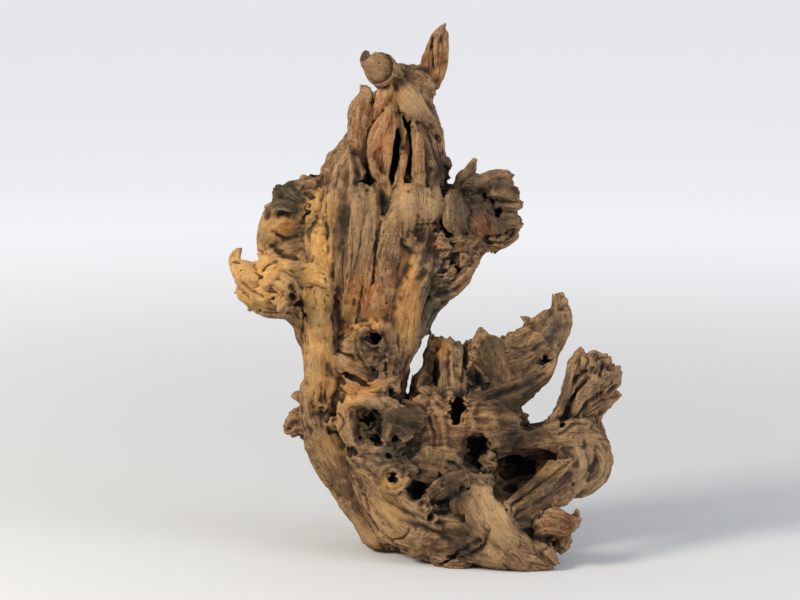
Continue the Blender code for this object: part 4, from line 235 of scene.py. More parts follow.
# name: (thickness front to back over width, fluting, [(across, down, depth, radius), ...])
LIMBS = {
    # trunk and base
    "trunk_core": (0.80, 0.10, [(402, 526, 8, 44), (380, 462, 18, 54), (361, 405, 26, 48),
        (360, 345, 30, 46), (371, 290, 30, 50), (384, 240, 30, 54), (392, 195, 30, 48),
        (396, 150, 28, 40), (396, 112, 26, 32), (402, 92, 26, 22)]),
    "left_face": (0.60, 0.06, [(319, 207, -4, 6), (316, 235, -6, 14), (314, 270, -8, 17),
        (316, 320, -6, 17), (322, 370, -2, 17), (319, 410, -2, 19), (335, 455, -4, 24),
        (362, 500, -8, 20), (380, 526, -6, 18)]),
    "base_bulge": (0.9, 0.06, [(334, 412, 20, 30), (342, 445, 12, 29), (364, 484, 5, 29),
        (388, 508, 4, 30), (404, 526, 0, 22)]),
    "base_sole": (0.8, 0.06, [(366, 526, 40, 12), (376, 533, 40, 15), (392, 537, 24, 16),
        (410, 543, 0, 16), (428, 550, -26, 16)]),
    "base_lobe": (0.55, 0.05, [(376, 498, -26, 8), (385, 512, -30, 15), (396, 526, -32, 13),
        (404, 533, -30, 6)]),
    "base_skin": (0.5, 0.05, [(352, 462, -14, 16), (378, 476, -26, 22), (402, 500, -36, 26),
        (424, 520, -44, 22), (442, 540, -52, 16)]),
    "base_mid": (0.8, 0.06, [(372, 442, -8, 30), (395, 485, -25, 38), (425, 520, -40, 38),
        (455, 540, -50, 28)]),
    "base_front": (0.8, 0.08, [(395, 520, -20, 26), (430, 535, -45, 26), (470, 545, -65, 22),
        (505, 552, -80, 18)]),
    "base_rear": (0.8, 0.10, [(385, 500, 40, 46), (430, 505, 35, 48), (480, 500, 20, 44),
        (525, 500, 0, 30)]),
    # head
    "head_mass": (0.85, 0.05, [(390, 76, 22, 15), (404, 84, 22, 20.5), (416, 88, 22, 22),
        (422, 98, 24, 16)]),
    "sawn_branch": (1.0, 0.08, [(408, 88, 36, 16), (396, 80, 22, 15), (385, 73, 4, 15),
        (376, 67, -14, 14.5)]),
    "neck_right": (0.9, 0.06, [(424, 80, 24, 11), (419, 96, 26, 16), (419, 112, 28, 17),
        (423, 130, 28, 19), (422, 150, 28, 18), (426, 172, 28, 18), (428, 200, 26, 18)]),
    "neck_ridge": (0.8, 0.04, [(392, 82, 8, 7), (402, 92, 2, 11), (414, 106, 2, 12), (427, 120, 8, 10),
        (437, 134, 16, 6)]),
    # middle trunk plates
    "shoulder": (0.75, 0.03, [(348.5, 145, 0, 1.4), (347, 155, -5, 5.5), (343, 172, -8, 11),
        (338, 200, -9, 13), (331, 228, -7, 10), (328, 250, -5, 7)]),
    "valley_fill": (0.5, 0.03, [(357, 176, -4, 10), (350, 198, -9, 12), (344, 228, -11, 13),
        (341, 256, -11, 13), (340, 284, -8, 11), (338, 300, -4, 7)]),
    "back_slope": (0.9, 0.05, [(356, 126, 26, 8), (353, 146, 28, 14), (345, 168, 30, 20),
        (338, 200, 30, 28), (334, 240, 28, 30)]),
    "plate_left": (0.4, 0.03, [(365, 186, -14, 8), (364, 194, -18, 13), (364, 214, -21, 15),
        (363, 242, -22, 16), (359, 270, -20, 13), (351, 298, -13, 9), (345, 322, -5, 4)]),
    "plate_centre": (0.5, 0.03, [(404.5, 174, -13, 1.6), (402.5, 186, -18, 4.5), (399, 202, -22, 7),
        (394, 216, -24, 10), (386, 236, -25, 15), (380, 260, -24, 19), (378, 288, -20, 20),
        (378, 318, -12, 18), (376, 345, -4, 12)]),
    "plate_right": (0.28, 0.04, [(410, 185, -16, 9), (409, 196, -20, 15), (408, 212, -23, 18),
        (408, 224, -21, 16)]),
    "plate_mid": (0.28, 0.03, [(421, 190, -15, 9), (421, 202, -20, 16), (420, 214, -22, 18),
        (419, 223, -20, 14)]),
    "plate_far": (0.28, 0.04, [(434, 191, -11, 8), (432, 201, -16, 13), (431, 212, -18, 14),
        (430, 221, -16, 11)]),
    "face_right": (0.6, 0.08, [(430, 222, -8, 14), (424, 240, -6, 18), (415, 265, -12, 21),
        (404, 300, -13, 21), (398, 335, -8, 20), (390, 365, -2, 14)]),
    "knot_mound": (0.6, 0.03, [(352, 347, -10, 14), (366, 346, -16, 19), (380, 349, -16, 19),
        (391, 352, -9, 12)]),
    "knot_lower": (0.7, 0.10, [(342, 358, -10, 9), (350, 368, -14, 11), (366, 377, -14, 9),
        (380, 384, -12, 6)]),
    "low_front": (0.6, 0.08, [(386, 322, -12, 16), (386, 346, -13, 16), (386, 370, -12, 12),
        (391, 392, -8, 10)]),
    "right_wall": (0.9, 0.08, [(436, 282, 20, 23), (422, 312, 22, 17), (413, 338, 22, 12),
        (402, 362, 22, 9), (393, 388, 18, 9), (396, 412, 10, 10)]),
    # left arm and knobs
    "arm_root": (0.85, 0.08, [(345, 230, 15, 34), (325, 225, 8, 26), (305, 212, 6, 20),
        (290, 205, 4, 18)]),
    "arm_fill": (0.8, 0.08, [(330, 248, 4, 24), (305, 248, 0, 18), (282, 252, -4, 14),
        (264, 256, -4, 9)]),
    "knob_bridge": (0.8, 0.10, [(318, 192, 6, 14), (302, 190, 6, 13), (288, 192, 6, 12)]),
    "knob_mass": (0.8, 0.06, [(306, 216, 4, 21), (290, 216, -2, 21), (277, 222, -6, 19),
        (270, 236, -4, 15), (264, 250, 0, 8)]),
    "gold_arm": (0.8, 0.04, [(332, 285, 6, 27), (308, 276, -2, 26), (285, 277, -10, 27),
        (264, 279, -14, 25), (249, 275, -12, 17), (239, 267, -8, 10)]),
    "gold_lip": (0.7, 0.10, [(240, 290, -6, 6), (252, 298, -10, 10), (268, 304, -12, 11),
        (284, 305, -12, 12), (296, 312, -6, 12), (306, 330, 4, 12), (314, 350, 10, 12)]),
    # right wing of the trunk
    "wing_low": (0.8, 0.08, [(425, 275, 12, 28), (445, 262, 6, 26), (462, 248, 2, 20),
        (476, 238, 0, 15)]),
    "wing_edge": (0.7, 0.10, [(440, 285, 8, 16), (455, 280, 2, 13), (466, 268, -2, 10),
        (474, 254, -4, 9), (480, 246, -2, 7)]),
    "wing_neck": (0.8, 0.10, [(435, 215, 14, 24), (452, 210, 10, 20), (470, 212, 6, 20),
        (488, 215, 2, 18)]),
    "wing_back": (0.35, 0.08, [(470, 205, 14, 20), (488, 210, 12, 22), (504, 212, 10, 18),
        (514, 214, 8, 10)]),
    "wing_tail": (0.5, 0.10, [(468, 232, 2, 12), (480, 234, 0, 14), (496, 236, -2, 15),
        (508, 234, -2, 11), (517, 229, -2, 6)]),
    # cluster, left part
    "web": (0.8, 0.06, [(402, 440, -5, 30), (430, 430, -12, 34), (460, 430, -18, 34),
        (490, 430, -20, 32), (512, 428, -18, 20)]),
    "web_low": (0.8, 0.06, [(424, 466, -22, 28), (444, 470, -28, 34), (464, 476, -32, 28),
        (482, 480, -38, 20)]),
    "pillar_a": (0.8, 0.10, [(437, 341, 14, 7), (431, 354, 12, 7), (430, 367, 10, 7), (421, 382, 6, 9),
        (421, 400, 2, 11), (430, 418, 0, 16)]),
    "pillar_b": (0.8, 0.06, [(447, 342, 10, 8), (451, 356, 2, 13), (453, 372, -4, 16),
        (454, 390, -8, 18), (456, 408, -8, 20)]),
    "pillar_c": (0.8, 0.14, [(469, 341, 12, 6), (472, 356, 6, 10), (478, 376, 2, 13),
        (485, 400, -4, 15)]),
    "pillar_wall": (0.7, 0.08, [(441, 350, 26, 7), (438, 366, 24, 10), (434, 386, 20, 12),
        (436, 404, 14, 16)]),
    "fan": (0.6, 0.03, [(482, 357, -4, 15), (500, 359, -7, 21), (518, 355, -7, 23),
        (536, 346, -5, 23)]),
    "arm_up": (0.75, 0.04, [(500, 385, 4, 22), (518, 368, 2, 25), (534, 348, 2, 26), (548, 332, 2, 22),
        (558, 318, 4, 15), (560, 308, 4, 9), (559, 298, 4, 7.5), (559, 294, 4, 6.5)]),
    "arm_low": (0.6, 0.06, [(482, 398, -8, 20), (508, 390, -10, 19), (528, 380, -10, 16),
        (546, 370, -8, 11), (551, 366, -7, 7)]),
    # cluster, right part
    "saddle": (0.9, 0.06, [(505, 442, -10, 22), (525, 442, -10, 16), (540, 440, -10, 13),
        (556, 432, -8, 14)]),
    "saddle_left": (0.8, 0.10, [(506, 398, -8, 13), (509, 418, -8, 14), (516, 436, -8, 14)]),
    "arm_right": (0.7, 0.12, [(556, 432, -4, 12), (570, 412, -4, 15), (581, 392, -4, 19),
        (591, 376, -4, 23), (597, 366, -4, 16)]),
    "fin_root": (0.7, 0.10, [(590, 402, 2, 12), (588, 422, 2, 12), (586, 440, 2, 12)]),
    "hand_back": (0.4, 0.08, [(515, 452, 0, 24), (545, 452, 2, 28), (575, 452, 2, 24)]),
    "slab_right": (0.5, 0.05, [(574, 446, -14, 18), (588, 454, -12, 22), (591, 468, -14, 21),
        (580, 480, -20, 18), (562, 490, -32, 12)]),
    "slab_left": (0.5, 0.05, [(566, 448, -28, 12), (572, 462, -30, 16), (566, 478, -36, 14),
        (548, 492, -46, 12)]),
    "rib_upper": (0.45, 0.05, [(500, 448, -30, 5), (516, 442, -32, 8), (538, 438, -30, 12),
        (562, 437, -24, 18), (584, 438, -14, 18), (598, 440, -6, 12)]),
    "rib_gold": (0.75, 0.10, [(505, 504, -64, 8), (516, 499, -68, 13), (528, 492, -67, 15),
        (541, 482, -63, 16), (554, 473, -56, 13), (565, 466, -48, 8), (574, 459, -40, 3)]),
    "rib_under": (0.8, 0.12, [(512, 520, -70, 10), (535, 505, -62, 14), (556, 490, -48, 16),
        (575, 474, -30, 16)]),
    # the pale ridge and the feet
    "pale_ridge": (0.5, 0.03, [(457, 474, -50, 11), (468, 488, -60, 17), (479, 506, -70, 22),
        (491, 528, -78, 26), (511, 548, -82, 22), (535, 560, -86, 13), (553, 566, -86, 5)]),
    "foot_right": (0.8, 0.08, [(500, 545, -70, 20), (525, 550, -74, 18), (545, 554, -78, 14),
        (556, 563, -84, 6)]),
    "foot_back": (0.8, 0.08, [(496, 522, -48, 22), (525, 522, -50, 18), (548, 528, -54, 14)]),
    "brow": (0.8, 0.14, [(348, 402, -18, 8), (364, 399, -24, 9), (382, 402, -28, 8),
        (396, 409, -30, 7)]),
    "cheek_low": (0.8, 0.12, [(350, 450, -22, 8), (366, 452, -28, 8), (384, 452, -32, 8),
        (398, 448, -34, 6)]),
    "mound_low": (0.8, 0.12, [(384, 486, -38, 12), (400, 492, -42, 14), (418, 494, -46, 14)]),
    # the far side
    "back_rib_a": (0.9, 0.12, [(404, 98, 42, 8), (411, 140, 52, 12), (402, 185, 60, 14),
        (388, 225, 66, 13), (392, 270, 66, 15), (380, 315, 64, 12), (366, 355, 60, 13),
        (372, 400, 58, 14), (362, 450, 58, 16), (376, 505, 62, 18)]),
    "back_rib_b": (0.9, 0.12, [(430, 150, 40, 9), (434, 190, 48, 12), (422, 235, 56, 13),
        (428, 275, 52, 11), (412, 310, 54, 14), (396, 345, 56, 12), (404, 385, 54, 14),
        (418, 430, 56, 18), (436, 470, 58, 20), (450, 512, 54, 16)]),
    "back_rib_c": (0.9, 0.12, [(354, 150, 42, 8), (342, 190, 50, 12), (346, 235, 56, 13),
        (334, 275, 54, 12), (344, 315, 56, 14), (336, 360, 50, 12), (331, 400, 46, 15),
        (342, 445, 50, 16), (354, 492, 52, 16)]),
    "back_wing": (0.7, 0.14, [(440, 205, 30, 18), (462, 205, 26, 16), (484, 200, 22, 14),
        (500, 196, 18, 10)]),
    "back_wing_low": (0.7, 0.14, [(436, 262, 34, 20), (454, 246, 28, 16), (470, 232, 22, 12),
        (490, 228, 18, 12)]),
    "back_arm_left": (0.8, 0.14, [(340, 260, 44, 18), (312, 262, 30, 18), (284, 266, 16, 16),
        (262, 268, 8, 12)]),
    "back_knob_left": (0.8, 0.14, [(336, 208, 44, 16), (310, 206, 30, 16), (288, 210, 22, 13),
        (276, 218, 16, 10)]),
    "back_sweep_a": (0.8, 0.14, [(412, 448, 44, 18), (440, 438, 46, 17), (474, 446, 40, 15),
        (508, 440, 32, 14), (540, 434, 20, 12), (566, 418, 10, 9)]),
    "back_sweep_b": (0.8, 0.14, [(420, 496, 52, 20), (458, 482, 52, 18), (496, 480, 44, 16),
        (534, 472, 28, 15), (566, 464, 14, 13), (590, 452, 6, 9)]),
    "back_sweep_c": (0.8, 0.14, [(440, 420, 36, 18), (462, 402, 36, 16), (490, 390, 28, 14),
        (514, 374, 22, 12), (540, 352, 18, 11), (554, 330, 14, 8)]),
    "back_sweep_d": (0.8, 0.14, [(446, 404, 34, 14), (450, 382, 32, 11), (446, 360, 28, 8),
        (449, 346, 24, 4)]),
    "back_sweep_e": (0.8, 0.14, [(560, 440, 12, 12), (574, 415, 12, 12), (588, 396, 10, 13),
        (600, 380, 8, 9)]),
    "cave_wall": (0.5, 0.08, [(455, 462, 26, 26), (490, 460, 22, 26), (520, 458, 18, 24),
        (548, 452, 14, 18)]),
    "base_back": (0.8, 0.10, [(400, 512, 44, 28), (434, 518, 42, 30), (470, 515, 34, 28),
        (505, 520, 10, 24), (530, 530, -20, 20)]),
    "back_foot_left": (0.9, 0.10, [(378, 480, 40, 24), (386, 505, 46, 20), (390, 524, 56, 15)]),
    "back_foot_right": (0.9, 0.12, [(480, 490, 40, 24), (496, 512, 46, 17), (506, 530, 52, 12)]),
}

# the flakes, ribs, spikes and knobs that stand out sharply from them, in the same terms
FLAKES = {
    # head
    "broken_nub": (0.8, 0.06, [(378, 67, 16, 9), (369, 63, 12, 8.5), (366.5, 59, 10, 7.5),
        (366.5, 58, 10, 7.5)]),
    "ear": (0.5, 0.05, [(426, 96, 26, 10), (430, 82, 26, 10.5), (434, 71, 24, 13.5),
        (434.5, 61, 23, 15), (436, 50, 21, 13.6), (439.5, 38, 19, 10.4), (443, 30, 17, 6.6),
        (446, 25, 15, 3.2), (446.8, 21.3, 15, 1)]),
    # upper trunk flakes, left to right
    "peg_left": (0.8, 0.12, [(366, 100, 12, 7), (364, 92, 9, 5.5), (362, 86, 8, 3.5)]),
    "flake_left": (0.4, 0.09, [(364, 85, 5, 3), (367, 93, 3, 6), (362, 104, 2, 9.5),
        (358, 118, 0, 11.5), (357, 136, -2, 10.5), (359.5, 150, -3, 8), (362.5, 163, -4, 2.5)]),
    "flake_inner": (0.6, 0.08, [(374, 104, 0, 4), (370, 116, -2, 5), (369, 128, -3, 4),
        (370, 136, -4, 2)]),
    "flake_step": (0.6, 0.06, [(350, 150, -2, 2), (356, 162, -6, 6), (362, 174, -9, 7),
        (366, 186, -12, 5)]),
    "flake_top": (0.7, 0.10, [(388, 84, 2, 7), (386, 95, -3, 8), (381, 106, -4, 7), (376, 118, -2, 4)]),
    "flake_top_right": (0.8, 0.12, [(392, 88, 2, 6), (393, 98, -3, 6), (395, 110, -3, 3)]),
    "red_flake": (0.5, 0.05, [(391, 106, -8, 3), (388.5, 113, -12, 5), (384, 124, -15, 8),
        (378, 136, -16, 9), (373, 148, -16, 6), (372, 159, -15, 4.5), (375, 170, -13, 4.5),
        (378, 178, -11, 3)]),
    "red_edge": (0.6, 0.05, [(391, 109, -11, 3), (391, 122, -14, 4), (389, 136, -17, 6),
        (387.5, 148, -19, 6), (387, 160, -19, 5), (386.5, 171, -18, 2)]),
    "red_spur": (0.4, 0.03, [(380, 169, -12, 1.5), (382, 178, -11, 5), (384, 190, -6, 8),
        (385, 204, -3, 9), (384, 222, -4, 7)]),
    "needle": (0.7, 0.06, [(404, 115, -2, 2), (404.5, 126, -4, 3.5), (404, 140, -5, 3.5),
        (404, 152, -6, 3)]),
    "needle_side": (0.5, 0.06, [(402.5, 150, -9, 4), (401.5, 158, -11, 6.5), (400, 170, -12, 6),
        (398, 182, -12, 4), (397, 192, -12, 1.5)]),
    "finger": (0.8, 0.03, [(417.5, 136, -9, 5.5), (418.5, 144, -12, 7), (419, 158, -13, 7),
        (418.5, 172, -13, 7), (419, 186, -12, 7)]),
    "finger_side": (0.6, 0.06, [(411, 121, -2, 1.5), (413.5, 128, -4, 4), (415, 138, -5, 4)]),
    "rib_right": (0.8, 0.08, [(411, 118, 4, 3), (424, 136, 4, 6), (429, 156, 2, 7), (431, 176, 0, 8),
        (434, 192, -4, 8)]),
    "rib_thin": (0.8, 0.08, [(428, 128, 8, 3), (434, 146, 6, 5), (437, 164, 6, 6), (440, 182, 2, 6)]),
    "rib_far_right": (0.9, 0.06, [(438, 130, 20, 5), (439, 150, 16, 6), (438, 165, 14, 7)]),
    "back_flange": (0.4, 0.06, [(434, 162, 20, 9), (441, 170, 19, 12), (446, 178, 19, 8),
        (452, 178, 19, 2)]),
    # middle trunk plates
    "shoulder_edge": (1.4, 0.03, [(349, 147, -4, 1.6), (350.5, 162, -11, 3.4), (351, 178, -15, 4),
        (349, 200, -16, 4), (345, 226, -14, 3)]),
    "shoulder_side": (0.8, 0.10, [(330, 172, 4, 6), (328, 188, 0, 10), (322, 206, -2, 11),
        (318, 224, -2, 12)]),
    "plate_step": (0.7, 0.10, [(398, 232, -20, 6), (410, 240, -18, 8), (418, 256, -16, 9),
        (420, 276, -14, 8)]),
    "gold_ridge": (0.9, 0.05, [(411, 264, -14, 3), (410, 288, -19, 6), (409, 313, -18, 7),
        (410, 336, -12, 5), (411, 350, -4, 2)]),
    "shelf": (0.8, 0.12, [(346, 384, -12, 8), (362, 391, -18, 9), (378, 388, -22, 9),
        (391, 381, -22, 6), (397, 390, -20, 5)]),
    "eye_ring": (0.8, 0.05, [(360, 362, -18, 3), (356, 351, -20, 4), (359, 338, -21, 4),
        (367, 330, -21, 4), (379, 329, -21, 4), (387, 337, -20, 4), (389, 348, -19, 4),
        (384, 359, -18, 3.4), (375, 365, -18, 3)]),
    "wall_rib": (0.9, 0.10, [(440, 292, 6, 8), (428, 306, 4, 7), (420, 324, 4, 6), (414, 346, 6, 5),
        (405, 368, 6, 4)]),
    "wall_nub": (0.8, 0.12, [(420, 322, 10, 6), (424, 332, 10, 5), (422, 340, 10, 3)]),
    # left arm and knobs
    "back_chunk": (0.8, 0.12, [(330, 182, 12, 10), (318, 180, 6, 9), (308, 180, 4, 7),
        (304, 177, 4, 4)]),
    "grey_knob": (0.8, 0.12, [(302, 204, 2, 12), (291, 199, -4, 14), (283, 193, -4, 13),
        (281, 188, -2, 9)]),
    "grey_knob_b": (0.8, 0.12, [(294, 210, -14, 8), (281, 206, -17, 10), (270, 210, -10, 9)]),
    "knob_top": (0.8, 0.12, [(306, 186, 2, 7), (300, 192, -4, 7), (296, 200, -10, 6)]),
    "horn": (0.7, 0.08, [(246, 276, -6, 12), (236, 266, -4, 8), (236, 257, -3, 6.5),
        (240, 250, -3, 3.5), (241, 247, -3, 1.5)]),
    "gold_knot": (0.8, 0.10, [(266, 277, -30, 10), (280, 281, -35, 12), (290, 293, -34, 12),
        (282, 306, -30, 10)]),
    "gold_spurs": (0.8, 0.10, [(242, 288, -4, 6), (236, 291, -2, 2)]),
    "gold_spur_low": (0.8, 0.10, [(256, 304, -6, 7), (249, 310, -4, 2.5)]),
    # low left nubs
    "nub_high": (0.9, 0.08, [(310, 398, 14, 8), (301, 396, 12, 6.5), (297, 396, 12, 5)]),
    "nub_low": (0.9, 0.10, [(316, 424, 14, 20), (300, 423, 14, 15), (291, 428, 12, 10)]),
    # right wing of the trunk
    "wing_leaf": (0.45, 0.05, [(461, 190, -6, 3), (455, 198, -11, 9), (455, 212, -14, 13),
        (458, 228, -13, 11)]),
    "wing_plate": (0.5, 0.08, [(470, 214, -8, 6), (476, 222, -12, 11), (482, 230, -11, 10),
        (484, 240, -7, 5)]),
    "wing_plate_b": (0.5, 0.08, [(486, 209, -8, 4), (488, 218, -11, 7), (489, 228, -10, 7),
        (486, 237, -7, 4)]),
    "wing_roll": (0.8, 0.14, [(430, 246, -10, 8), (438, 241, -13, 7), (446, 244, -14, 5)]),
    "wing_roll_far": (0.8, 0.14, [(452, 240, -13, 4), (460, 238, -12, 6), (470, 241, -8, 6),
        (484, 246, -4, 5)]),
    "wing_rim": (0.8, 0.12, [(470, 246, -6, 6), (474, 258, -6, 7), (466, 272, -6, 7), (452, 284, -4, 7),
        (440, 288, 2, 6)]),
    "wing_inner": (0.9, 0.14, [(446, 262, -8, 6), (454, 270, -8, 6), (462, 264, -4, 5)]),
    "spike": (0.6, 0.05, [(450, 198, 12, 9), (458, 188, 10, 9), (466, 176, 9, 7.5), (472, 167, 8, 5.5),
        (476.5, 157, 8, 2.4)]),
    "wing_top": (0.7, 0.05, [(468, 186, 8, 10), (480, 185, 5, 11), (494, 181, 4, 10.5),
        (504, 179, 4, 9), (508, 178, 4, 8)]),
    "wing_lump_a": (0.9, 0.08, [(494, 190, -3, 10), (508, 193, -6, 11), (516, 197, -5, 8.5)]),
    "wing_lump_b": (0.9, 0.08, [(498, 203, -4, 8), (511, 205, -7, 9), (519, 205, -6, 6)]),
    "wing_lump_c": (0.9, 0.08, [(504, 222, -6, 9), (514, 222, -10, 9), (519, 222, -11, 7)]),
    "wing_fan": (0.5, 0.03, [(494, 220, -10, 8), (501, 233, -12, 11), (500, 245, -8, 7)]),
    "wing_tip": (0.5, 0.06, [(496, 236, 0, 11), (496, 246, 0, 6.5), (494, 255, 0, 1.2)]),
    # cluster, left part
    "pillar_nub_a": (0.8, 0.14, [(432, 352, 12, 7), (431, 342, 12, 5), (430, 338, 12, 3)]),
    "pillar_nub_b": (0.8, 0.14, [(442, 348, 8, 7), (444, 339, 10, 4.5)]),
    "pillar_nub_c": (0.8, 0.14, [(453, 352, 8, 7), (456, 343, 10, 4)]),
    "pillar_foot": (0.9, 0.10, [(420, 388, 4, 6), (427, 394, -4, 9), (438, 401, -10, 13),
        (450, 408, -14, 14)]),
    "peak": (0.6, 0.08, [(481, 324.5, 6, 1.6), (480.5, 334, 4, 6), (480, 344, 0, 11),
        (486, 358, -4, 13), (495, 374, -8, 12), (502, 390, -8, 10)]),
    "rough_boss": (0.8, 0.18, [(470, 366, -6, 8), (478, 378, -10, 12), (488, 390, -10, 10)]),
    "fan_plate": (0.3, 0.03, [(485, 341, -4, 11), (493, 351, -9, 21), (500, 366, -12, 19),
        (503, 380, -15, 11), (504, 388, -15, 3)]),
    "arm_ring": (0.8, 0.06, [(538, 350, -14, 5), (549, 349, -13, 5), (554, 357, -12, 5),
        (550, 367, -12, 4), (540, 373, -14, 4)]),
    "thorn": (0.7, 0.05, [(535, 328, 2, 9), (527, 321, 2, 5), (522, 317, 2, 1.5)]),
    "ledge": (0.8, 0.12, [(530, 340, -4, 9), (518, 337, -6, 8), (511, 334, -6, 4)]),
    "peg_top": (0.9, 0.06, [(560, 320, 0, 12), (559, 308, 2, 8), (558.5, 300, 2, 7.5),
        (558.5, 297, 2, 6)]),
    "peg_corner_a": (0.8, 0.08, [(556, 302, 2, 6), (553.5, 295, 2, 3), (552, 292, 2, 1.2)]),
    "peg_corner_b": (0.8, 0.08, [(562, 302, 0, 6), (565, 296, 0, 2.6)]),
    # cluster, right part
    "arm_rim": (0.8, 0.06, [(551, 427, -12, 6), (557, 413, -14, 8), (563, 398, -14, 8),
        (568, 381, -12, 8), (573, 366, -8, 8), (578, 358, -6, 6)]),
    "crown_a": (0.8, 0.12, [(578, 370, -2, 10), (580, 356, -4, 7), (581, 348, -4, 3.5),
        (581, 345, -4, 2)]),
    "crown_b": (0.8, 0.14, [(596, 370, -6, 15), (601, 360, -6, 9), (607, 356, -6, 4)]),
    "crown_d": (0.8, 0.14, [(588, 368, -6, 10), (592, 357, -6, 7), (598, 352, -4, 3)]),
    "crown_c": (0.8, 0.14, [(602, 382, -6, 17), (612, 377, -6, 12), (617, 370, -6, 6)]),
    "crown_lobe": (0.7, 0.06, [(585, 355, -14, 4), (588, 362, -18, 8), (590, 371, -16, 5)]),
    "crown_e": (0.8, 0.10, [(597, 362, -4, 6), (598.5, 354, -4, 2.6), (599, 350, -4, 1)]),
    "crown_f": (0.8, 0.10, [(606, 366, -4, 6), (611, 358, -4, 2.2)]),
    "crown_g": (0.8, 0.10, [(610, 374, -4, 7), (618, 369, -4, 4), (620, 368, -4, 2)]),
    "fin": (0.4, 0.10, [(578, 412, 0, 10), (592, 405, 0, 14), (606, 398, 0, 10), (618, 394, 0, 4)]),
    "slab_edge": (0.8, 0.14, [(593, 424, 2, 8), (601, 442, 0, 8), (604, 459, 0, 7.5), (599, 476, -4, 8),
        (588, 485, -8, 7)]),
    "rib_end": (0.9, 0.14, [(506, 503, -70, 7), (510, 505, -74, 5)]),
    # the pale ridge and the feet
    "foot_knob": (0.9, 0.08, [(540, 528, -66, 13), (552, 522, -74, 16), (564, 525, -72, 14),
        (575, 523, -66, 8)]),
    "foot_lump": (0.9, 0.12, [(513, 524, -74, 7), (520, 526, -78, 6), (527, 524, -74, 5)]),
    "foot_knob_low": (0.8, 0.14, [(556, 532, -62, 12), (560, 542, -60, 10), (556, 551, -60, 6)]),
    "knob_nub": (0.9, 0.12, [(572, 524, -64, 7), (575, 516, -62, 4.5), (575, 513, -62, 3)]),
    "fold_high": (0.45, 0.10, [(430, 500, -56, 6), (440, 490, -66, 11), (453, 482, -70, 12),
        (465, 476, -68, 7)]),
    "fold_wall": (0.6, 0.12, [(462, 484, -64, 6), (456, 500, -64, 7), (456, 518, -66, 7)]),
    "fold_inner": (0.6, 0.12, [(434, 512, -48, 8), (448, 508, -54, 8)]),
    "fold_low": (0.6, 0.12, [(434, 524, -56, 9), (452, 524, -68, 12), (472, 528, -76, 12),
        (482, 541, -76, 10), (472, 556, -72, 9)]),
    "toe": (0.9, 0.12, [(440, 552, -60, 13), (456, 558, -68, 11), (470, 556, -72, 10)]),
    "flap": (0.5, 0.10, [(384, 418, -26, 11), (398, 416, -33, 12), (412, 419, -35, 10),
        (422, 423, -35, 6), (429, 426, -33, 2)]),
    "cheek_left": (0.8, 0.14, [(346, 406, -16, 9), (347, 424, -20, 9), (352, 442, -22, 8)]),
    "lobe_a": (0.8, 0.12, [(389, 414, -32, 6), (390, 426, -35, 7), (387, 438, -34, 6)]),
    "lobe_b": (0.8, 0.12, [(396, 428, -35, 7), (408, 433, -38, 7), (402, 440, -38, 5)]),
    "swirl": (0.8, 0.14, [(328, 424, -10, 9), (336, 422, -12, 9)]),
    "nub_front": (0.9, 0.10, [(322, 406, -8, 7), (322, 407, -17, 5.5)]),
    "lobe_c": (0.8, 0.14, [(380, 466, -36, 8), (396, 468, -40, 9), (412, 468, -42, 8)]),
    # the far side
    "back_plate_a": (0.5, 0.10, [(372, 168, 60, 2), (370, 185, 64, 8), (366, 220, 68, 11),
        (368, 262, 66, 10), (362, 300, 60, 6)]),
    "back_plate_b": (0.5, 0.10, [(420, 118, 50, 2), (419, 132, 54, 7), (416, 165, 58, 10),
        (420, 205, 58, 9), (412, 240, 54, 5)]),
    "back_plate_c": (0.5, 0.10, [(352, 330, 60, 3), (350, 350, 64, 9), (354, 385, 64, 11),
        (350, 425, 60, 9), (354, 450, 54, 5)]),
    "back_knob": (0.9, 0.14, [(346, 322, 52, 14), (336, 316, 68, 11), (330, 308, 78, 7)]),
    "back_burl": (0.9, 0.16, [(416, 252, 52, 17), (428, 246, 66, 13), (434, 240, 74, 8)]),
    "back_stub_a": (0.9, 0.10, [(386, 352, 60, 15), (390, 342, 78, 11), (393, 334, 92, 9)]),
    "back_stub_b": (0.9, 0.12, [(428, 470, 58, 20), (446, 478, 80, 14), (458, 486, 94, 9)]),
    "back_stub_c": (0.9, 0.12, [(346, 416, 52, 14), (332, 420, 68, 10), (324, 428, 80, 6)]),
    "back_knee": (0.9, 0.14, [(492, 440, 42, 12), (502, 428, 54, 9), (508, 420, 62, 5)]),
}

